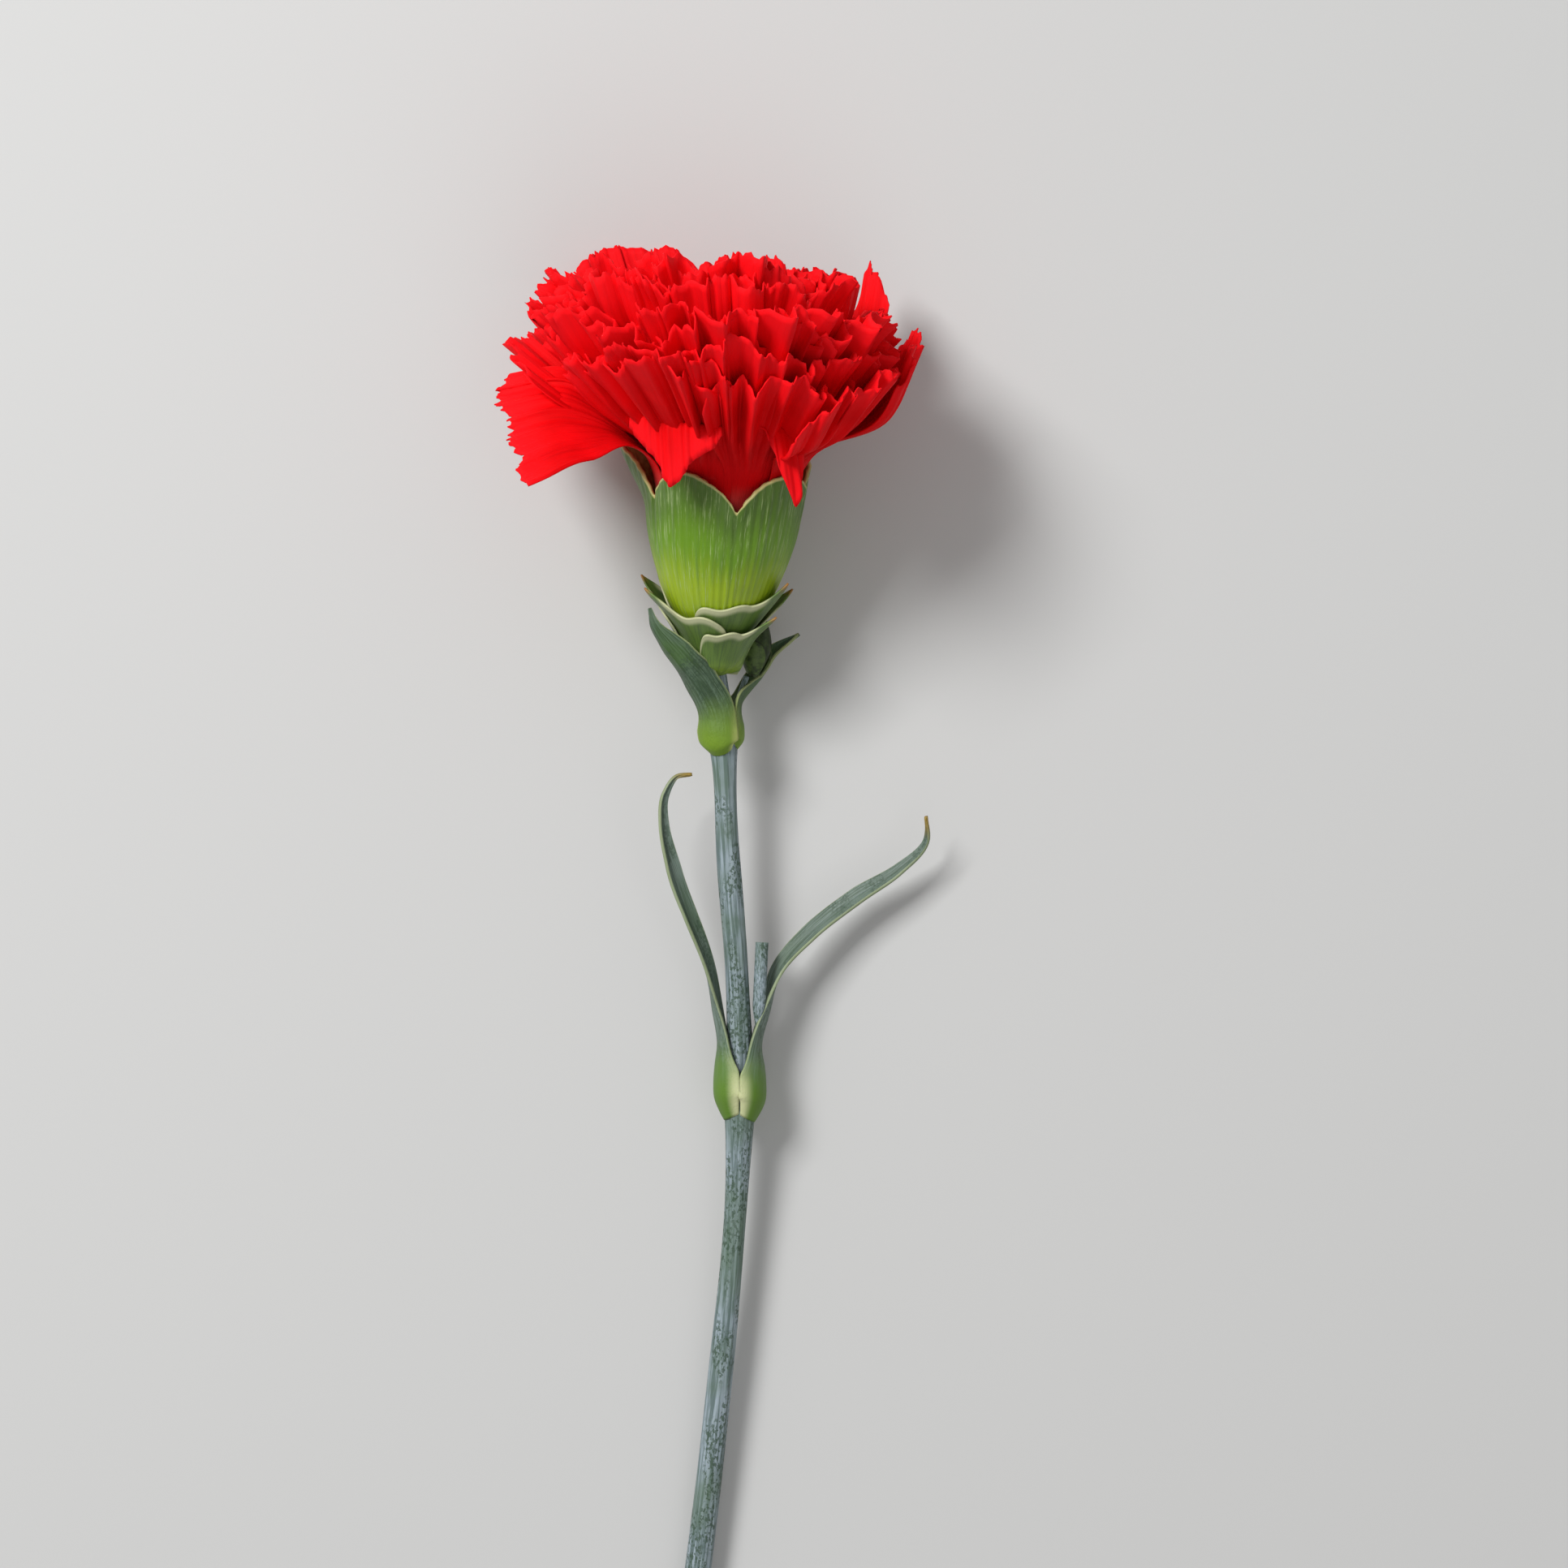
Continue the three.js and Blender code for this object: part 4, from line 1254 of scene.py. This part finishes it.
@dataclass
class Bloom:
    """The whole bloom: 39 petals in the places of their CAD nodes, and more petals between the rings."""

    head: Head
    calyx: Calyx
    seed: int = 27
    thickness: float = 0.22
    ovary_fit: float = 3.1
    seat_reach: float = 4.6
    neck_radius: float = 1.7
    rim_fit: float = 0.8
    seat_top: float = 9.3
    claw_width: float = 2.0
    tooth_pitch: float = 1.85
    tooth_depth: float = 1.35
    skirt: Ring = Ring("skirt", 11, 18.0, 20.0, 9.5, 11.5)
    fold_pitches: tuple[float, ...] = (4.8, 2.6, 1.7)
    claw_width_low: float = 10.0
    hollow_share: float = 0.75
    fold_climb: float = 0.55
    loose: tuple[float, float, float, float] = (0.13, 0.9, 1.5, 2.4)
    tilt: float = 1.4
    tilt_deg: float = 28.0
    columns_least: int = 41
    columns_per_mm: float = 2.2
    columns_most: int = 117
    teeth_least: int = 5
    tooth_drift: float = 0.22
    tooth_vary: float = 0.35
    fine_teeth: float = 2.7
    fine_tooth_share: float = 0.25
    fold_lean: float = 0.1
    swell_height: float = 0.55
    pleat_height: float = 0.8
    fine_height: float = 0.2
    curl_drop: float = 0.35
    sway: float = 0.05
    shear: float = 0.35
    width_least: float = 6.0
    row_spread: float = 0.85
    ring_overlap: float = 1.22
    ring_turn: float = 0.35
    fill_overlap: float = 1.3
    fill_turn: float = 0.9
    rings: tuple[Ring, ...] = (
        Ring("heart", 3, 1.5, 25.5, 0.7, 13.5),
        Ring("core", 4, 4.7, 28.5, 1.7, 13.5),
        Ring("inner", 5, 8, 31.5, 3.1, 13.5),
        Ring("middle", 5, 12, 31, 4.8, 13.5),
        Ring("upper", 6, 15.8, 29, 7, 13.5),
        Ring("outer", 6, 18.7, 25.5, 9.6, 13.5),
    )
    guards: tuple[Guard, ...] = (
        Guard("front_left", -32, 54, 18.2, 19.0, 8.3, 9.4, 1, 1.3, 2.1, 1.0, True, 0.3),
        Guard("left_low", -80, 36, 23.0, 3.4, 11.2, 6, -5, 1.35, 0.9, 1.0, True, -0.07, 3.2, 0.0, 1.3),
        Guard("left", -113, 32, 23.1, 16, 13.6, 8, 0, 1.8, 1.1),
        Guard("back_left", -160, 30, 21.2, 32.4, 13.6, 10, 0, 1.35, 0.7, 0.7, True, 0.14),
        Guard("under", 178, 34, 21.6, 26, 12.6, 9, 0, 1.3),
        Guard("back_right", 146, 28, 22.6, 23.5, 13.6, 9, 0, 1.4),
        Guard("right_high", 121, 20, 21.0, 33.5, 13.8, 14, 0, 1.0, 1.2, 1.7, True, 0.34),
        Guard("right", 96, 28, 21.6, 22, 14.6, 9, 0, 1.4),
        Guard("right_low", 58, 38, 19.0, 17.5, 10.8, 9, 3, 1.6, 1.4, 1.0, True, 0.26, 3.2, 0.0, 0.9),
        Guard("front_right", 24, 38, 17.8, 17.6, 8.3, 9.0, -1, 1.4, 2.1, 1.0, True, 0.3),
        Guard("tip_left", -19, 22, 8.2, -0.8, 6.9, 8.6, 0, 2.4, 0.4, 0.15, False, 0.36, 0.9, -4),
        Guard("tip_right", 16, 22, 8.8, -2.8, 7.0, 8.6, 0, 1.2, 0.4, 0.1, False, 0.55, 1.1, 17),
    )

    def outline(self, petal: PetalShape) -> Array:
        """The petal's middle line as radius and height: seat, claw, neck, bend and rim."""
        outwards = petal.order / len(self.rings)
        claw = mixed(self.ovary_fit, self.seat_reach, outwards)
        lip = self.calyx.mouth_radius - self.calyx.wall - self.rim_fit
        neck = mixed(self.neck_radius, lip, outwards) + petal.hug
        mouth = self.calyx.length
        return np.array([
            (claw, self.seat_top),
            (mixed(claw, neck, 0.55), mixed(self.seat_top, mouth, 0.5)),
            (neck, 1.01 * mouth),
            (neck + petal.bend_out, mouth + petal.bend_rise),
            (neck + petal.out, mouth + petal.rise),
        ])

    def edge(
        self, petal: PetalShape, u: Array, width: float, limb: float, rng: np.random.Generator
    ) -> Array:
        """How far the rim falls short: teeth of two triangular waves, broad lobes and cut corners.

        Args:
            petal: the petal.
            u: positions across it, from -1 to 1.
            width: the rim's width.
            limb: length of the petal beyond its neck.
            rng: source of its teeth.

        Returns:
            The shortfall in millimetres.
        """
        count = max(round(width / self.tooth_pitch), self.teeth_least)
        phase = 0.5 * count * (u + 1.0) + self.tooth_drift * waves(u, rng, (5.0, 9.0))
        coarse, fine = (2.0 * np.abs((times * phase % 1.0) - 0.5) for times in (1.0, self.fine_teeth))
        depth = petal.tooth * self.tooth_depth * (1.0 + self.tooth_vary * waves(u, rng, (7.0, 11.0)))
        lobe = petal.tooth * (1.0 + waves(u, rng, (3.0, 5.0)))
        corner = petal.corner * limb * np.abs(u) ** petal.corner_power
        return mixed(coarse, fine, self.fine_tooth_share) * depth + lobe + corner

    def folds(
        self, petal: PetalShape, u: Array, s: Array, past: Array, counts: Triple, rng: np.random.Generator
    ) -> Array:
        """How far the folds push the sheet off: soft swells, sharper pleats, fine creases and crumples.

        Args:
            petal: the petal.
            u: positions across it, from -1 to 1.
            s: shares along it.
            past: shares along it past the neck.
            counts: half waves across it of the swells, the pleats and the creases.
            rng: source of the folds.

        Returns:
            The push in millimetres, at its full height at the rim.
        """
        lean = u + self.fold_lean * past
        swell = waves(lean, rng, counts[:2], 0.6)
        wander = 0.5 * waves(u, rng, (3.0, 5.0))
        turn = 0.25 * np.pi * counts[1] * lean + wander + rng.uniform(0, np.pi)
        pleat = 1.9 * np.sqrt(np.sin(turn) ** 2 + 0.03) - 1.2
        pleat = pleat * (-1.0 if rng.random() < self.hollow_share else 1.0)
        fine = waves(u + 0.05 * s, rng, (2.2 * counts[2], 3.1 * counts[2]), 0.4)
        crumple = waves(s * 5.0 - 2.0 + 0.35 * waves(u, rng, (3.0,)), rng, (2.3, 3.1)) * petal.crumple
        large = self.swell_height * swell + self.pleat_height * pleat
        return petal.ruffle * large + self.fine_height * fine + crumple

    def points(self, petal: PetalShape, rng: np.random.Generator) -> Array:
        """The petal's grid.

        Along the petal the middle line is followed as far as the rim allows. Across it the azimuth fans
        out above the mouth. The folds grow from the neck to the rim, and the rim curls outwards.

        Args:
            petal: the petal.
            rng: source of its folds and teeth.

        Returns:
            Grid from seat to rim.
        """
        outline = self.outline(petal)
        stations = chord_shares(outline)
        length = np.linalg.norm(np.diff(outline, axis=0), axis=1).sum()
        neck = stations[2]
        width = max(2.0 * petal.half * outline[-1, 0], self.width_least)
        columns = int(np.clip(self.columns_least + self.columns_per_mm * width, 0, self.columns_most))
        v = np.linspace(0.0, 1.0, petal.rows)[:, None] ** self.row_spread
        u = np.linspace(-1.0, 1.0, columns)[None]
        edge = 1.0 - self.edge(petal, u, width, length * (1 - neck), rng) / length
        s = v * mixed(1.0, edge, smooth(v, 0.45, 1.0))
        line = through(stations, outline, s)
        slope = unit(through(stations, np.gradient(outline, stations, axis=0), s))
        limb = smooth(s, neck * 0.96, mixed(neck, 1.0, 0.55))
        counts = tuple(width / pitch for pitch in self.fold_pitches)
        off = self.folds(petal, u, s, s - neck, counts, rng) * limb
        curl = petal.curl * smooth(s, mixed(neck, 1.0, 0.62), 1.0) ** 2
        rho = line[..., 0] + slope[..., 1] * off + curl + self.shear * u * limb
        rho = np.maximum(rho, 0.6)
        h = line[..., 1] - self.fold_climb * slope[..., 0] * off - self.curl_drop * curl
        h = h + petal.twist * u * limb**2
        fan = smooth(line[..., 1], 0.93 * self.calyx.length, self.calyx.length + 6.0)
        fan = np.maximum(fan, smooth(s, neck, mixed(neck, 1.0, 0.6)))
        low = smooth(petal.order, 4.5, 6.0) * smooth(s, 0.0, neck)
        claw_width = mixed(self.claw_width, self.claw_width_low, low)
        narrow = np.minimum(claw_width / 2.0 / np.maximum(rho, 1.0), petal.half)
        half = mixed(narrow, petal.half, fan)
        sway = self.sway * waves(u, rng, counts[:2]) * limb
        turn = petal.azimuth + np.radians(petal.swing_deg) * limb
        return self.head.place(rho, h, turn + half * (u + sway))

    def ring_of(
        self, ring: Ring, order: float, first: float, overlap: float, **looks: object
    ) -> list[PetalShape]:
        """Petals spaced evenly in a ring.

        Args:
            ring: their count and reach.
            order: how far out they stand, from 0 at the heart.
            first: the first petal's place, in steps of the ring.
            overlap: a petal's width over its step.
            looks: the petals' other sizes.

        Returns:
            The petals.
        """
        return [
            PetalShape(
                f"red_petal_{ring.name}_{i + 1}", order, 2 * np.pi * (i + first) / ring.count,
                np.pi / ring.count * overlap, ring.out, ring.rise, ring.bend_out, ring.bend_rise, **looks,
            )
            for i in range(ring.count)
        ]

    def ring_petals(self) -> list[PetalShape]:
        """The petals of the six rings, each in the place of its CAD node."""
        made = []
        for order, ring in enumerate(self.rings):
            share = order / (len(self.rings) - 1)
            for i, petal in enumerate(self.ring_of(
                ring, order, 0.5 * (order % 2), self.ring_overlap, ruffle=mixed(1.4, 2.2, share),
                crumple=mixed(1.3, 0.35, share), curl=mixed(0.3, 0.6, share),
            )):
                petal.azimuth += self.ring_turn * order
                petal.node = f"petal_{ring.name}_{i + 1}"
                made.append(petal)
        return made

    def fill_petals(self) -> list[PetalShape]:
        """More petals, in rings half way between the six and in a skirt under the last."""
        made = []
        for order, (low, high) in enumerate(zip(self.rings[:-1], self.rings[1:])):
            share = order / (len(self.rings) - 2)
            ring = Ring(
                f"between_{low.name}", low.count + 2, 0.5 * (low.out + high.out),
                0.5 * (low.rise + high.rise) - 1.0, 0.5 * (low.bend_out + high.bend_out), 13.5,
            )
            for petal in self.ring_of(
                ring, order + 0.5, 0.3, self.fill_overlap, ruffle=mixed(1.4, 2.1, share),
                crumple=mixed(1.3, 0.5, share), curl=mixed(0.3, 0.6, share),
            ):
                petal.azimuth += self.fill_turn * order
                made.append(petal)
        for i, petal in enumerate(self.ring_of(self.skirt, 5.5, 0.5, 1.5, ruffle=2.1)):
            petal.out += 1.2 * np.cos(1.9 * i)
            petal.rise += 2.4 * np.cos(2.4 * i)
            made.append(petal)
        return made

    def guard_petals(self) -> list[PetalShape]:
        """The lowest petals, ten of them in the places of CAD nodes, and two folded tips over the calyx."""
        return [
            PetalShape(
                f"red_petal_guard_{g.name}", len(self.rings), np.radians(g.azimuth_deg),
                np.radians(g.span_deg / 2) * g.widen, g.out, g.rise, g.bend_out, g.bend_rise, g.twist,
                ruffle=g.ruffle, tooth=g.tooth, corner=g.corner, corner_power=g.corner_power,
                swing_deg=g.swing_deg, hug=g.hug, node=f"petal_guard_{g.name}" if g.node else None,
            )
            for g in self.guards
        ]

    def loosen(self, petal: PetalShape, rng: np.random.Generator) -> None:
        """Shift a petal a little from its even place: azimuth, reach, height and twist.

        Args:
            petal: the petal, changed in place.
            rng: source of the shifts.
        """
        turn, out, rise, twist = (rng.uniform(-1.0, 1.0) * reach for reach in self.loose)
        petal.azimuth += turn
        petal.out += out + self.tilt * np.cos(petal.azimuth - np.radians(self.tilt_deg)) * petal.order / 6
        petal.rise += rise + self.tilt * np.cos(petal.azimuth - np.radians(self.tilt_deg))
        petal.twist += twist

    def build(self, material: Material) -> None:
        """Make every petal."""
        for index, petal in enumerate(self.ring_petals() + self.fill_petals() + self.guard_petals()):
            rng = np.random.default_rng(self.seed * 1000 + index)
            if petal.order < len(self.rings):
                self.loosen(petal, rng)
            piece = surface(petal.name, self.points(petal, rng))
            give_wall(piece, self.thickness)
            dress(piece, material, Slot.PETAL, *([petal.node] if petal.node else []))


# ---- studio


@dataclass
class Lamp:
    """One square soft light aimed at the flower."""

    name: str
    place: tuple[float, float, float]
    size: float
    power: float

    def build(self, aim: Vector) -> None:
        """Hang the light."""
        data = bpy.data.lights.new(self.name, "AREA")
        data.shape = "SQUARE"
        data.size = self.size
        data.energy = self.power
        lamp = bpy.data.objects.new(self.name, data)
        lamp.location = self.place
        lamp.rotation_euler = (aim - lamp.location).to_track_quat("-Z", "Y").to_euler()
        bpy.context.scene.collection.objects.link(lamp)


@dataclass
class Studio:
    """The pale floor, the soft lights and the camera that looks straight down."""

    camera_place: tuple[float, float, float] = (0.0109, 0.0401, 1.2)
    view_width: float = 0.2512
    view_level: float = 0.020
    sensor: float = 36.0
    floor_size: float = 6.0
    sky: float = 0.345
    lamp_aim: Triple = (0.0, 0.07, 0.03)
    lamps: tuple[Lamp, ...] = (
        Lamp("key_light", (-0.56, 0.62, 0.92), 0.4, 13.0),
        Lamp("fill_light", (0.3, -0.5, 1.1), 0.9, 2.0),
    )

    def build(self) -> None:
        """Set up the floor, lights, sky and camera."""
        half = self.floor_size / 2 / MM
        side = np.array([-half, half])
        corners = np.stack([*np.meshgrid(side, side), np.zeros((2, 2))], axis=-1)
        floor = surface("pale_floor", corners)
        floor.data.materials.append(FloorFinish().build())
        for lamp in self.lamps:
            lamp.build(Vector(self.lamp_aim))
        scene = bpy.context.scene
        scene.view_settings.view_transform = "Standard"
        world = bpy.data.worlds.new("studio_sky")
        world.use_nodes = True
        light = world.node_tree.nodes["Background"].inputs
        light["Color"].default_value = (1.0, 1.0, 1.0, 1.0)
        light["Strength"].default_value = self.sky
        scene.world = world
        data = bpy.data.cameras.new("camera")
        data.sensor_width = self.sensor
        data.lens = self.sensor * (self.camera_place[2] - self.view_level) / self.view_width
        data.clip_start = 0.05
        camera = bpy.data.objects.new("camera", data)
        camera.location = self.camera_place
        scene.collection.objects.link(camera)
        scene.camera = camera


def main() -> None:
    """Build the studio and the flower in order."""
    logging.basicConfig(level=logging.INFO, format="%(name)s %(message)s")
    Studio().build()
    route = Route()
    head = Head(route)
    calyx = Calyx(head)

    stem_skin = WaxyFinish(
        "stem_wax", srgb(152, 166, 174), srgb(96, 113, 113), srgb(82, 106, 78), srgb(120, 136, 130),
        edge_width=0.0, streaks=(22.0, 16.0, 1.0), speckled=0.8,
    ).build()
    leaf_skin = WaxyFinish(
        "leaf_wax", srgb(122, 138, 130), srgb(84, 102, 86), srgb(72, 96, 68), srgb(150, 162, 124),
        foot=srgb(92, 128, 40), foot_ends=0.2, foot_pale=srgb(206, 210, 160), tip=srgb(158, 132, 62),
        edge_width=0.04,
    ).build()
    bract_skin = WaxyFinish(
        "bract_wax", srgb(90, 112, 90), srgb(54, 76, 50), srgb(74, 108, 40), srgb(170, 180, 124),
        foot=srgb(112, 144, 36), foot_ends=0.3, foot_pale=srgb(180, 190, 110), streaks=(30.0, 4.0, 1.0),
        most_green=0.8,
    ).build()
    flesh = FleshFinish("cut_flesh", srgb(206, 196, 158), srgb(178, 170, 122), 0.7).build()
    # The bud and its scales: their own green, darkened as painted shade for the shadow they lie in behind
    # the calyx scales.
    bud_green = FleshFinish("bud_green", srgb(52, 70, 26), srgb(24, 34, 10)).build()
    bud_scale = FleshFinish("bud_scale_green", srgb(84, 106, 50), srgb(40, 56, 24)).build()
    pistil_green = FleshFinish("pistil_green", srgb(190, 204, 140), srgb(150, 172, 96)).build()
    scale_green = ScaleFinish().build()

    Stem(route).build(stem_skin, flesh)
    blades = Blades(route)
    for shape in (LEAF_LEFT, LEAF_RIGHT):
        blades.build(shape, leaf_skin, Slot.LEAF)
    for shape in (BRACT_LEFT, BRACT_RIGHT):
        blades.build(shape, bract_skin, Slot.BRACT)
    ShootStub(route).build(stem_skin, flesh)
    SideBud().build(bud_green, bud_scale, stem_skin)
    # The cup's lining: the inner wall's own pale green, made paler still as painted light against the shade
    # inside the cup.
    lining = FleshFinish("calyx_lining", srgb(200, 206, 132), srgb(168, 176, 96), 0.6).build()
    calyx.build(CalyxFinish().build(), lining)
    CalyxScales(calyx).build(scale_green)
    Bloom(head, calyx).build(PetalFinish().build())
    pistil = bpy.data.objects["pistil"]
    pistil.data.materials.clear()
    pistil.data.materials.append(pistil_green)


if __name__ == "__main__":
    main()
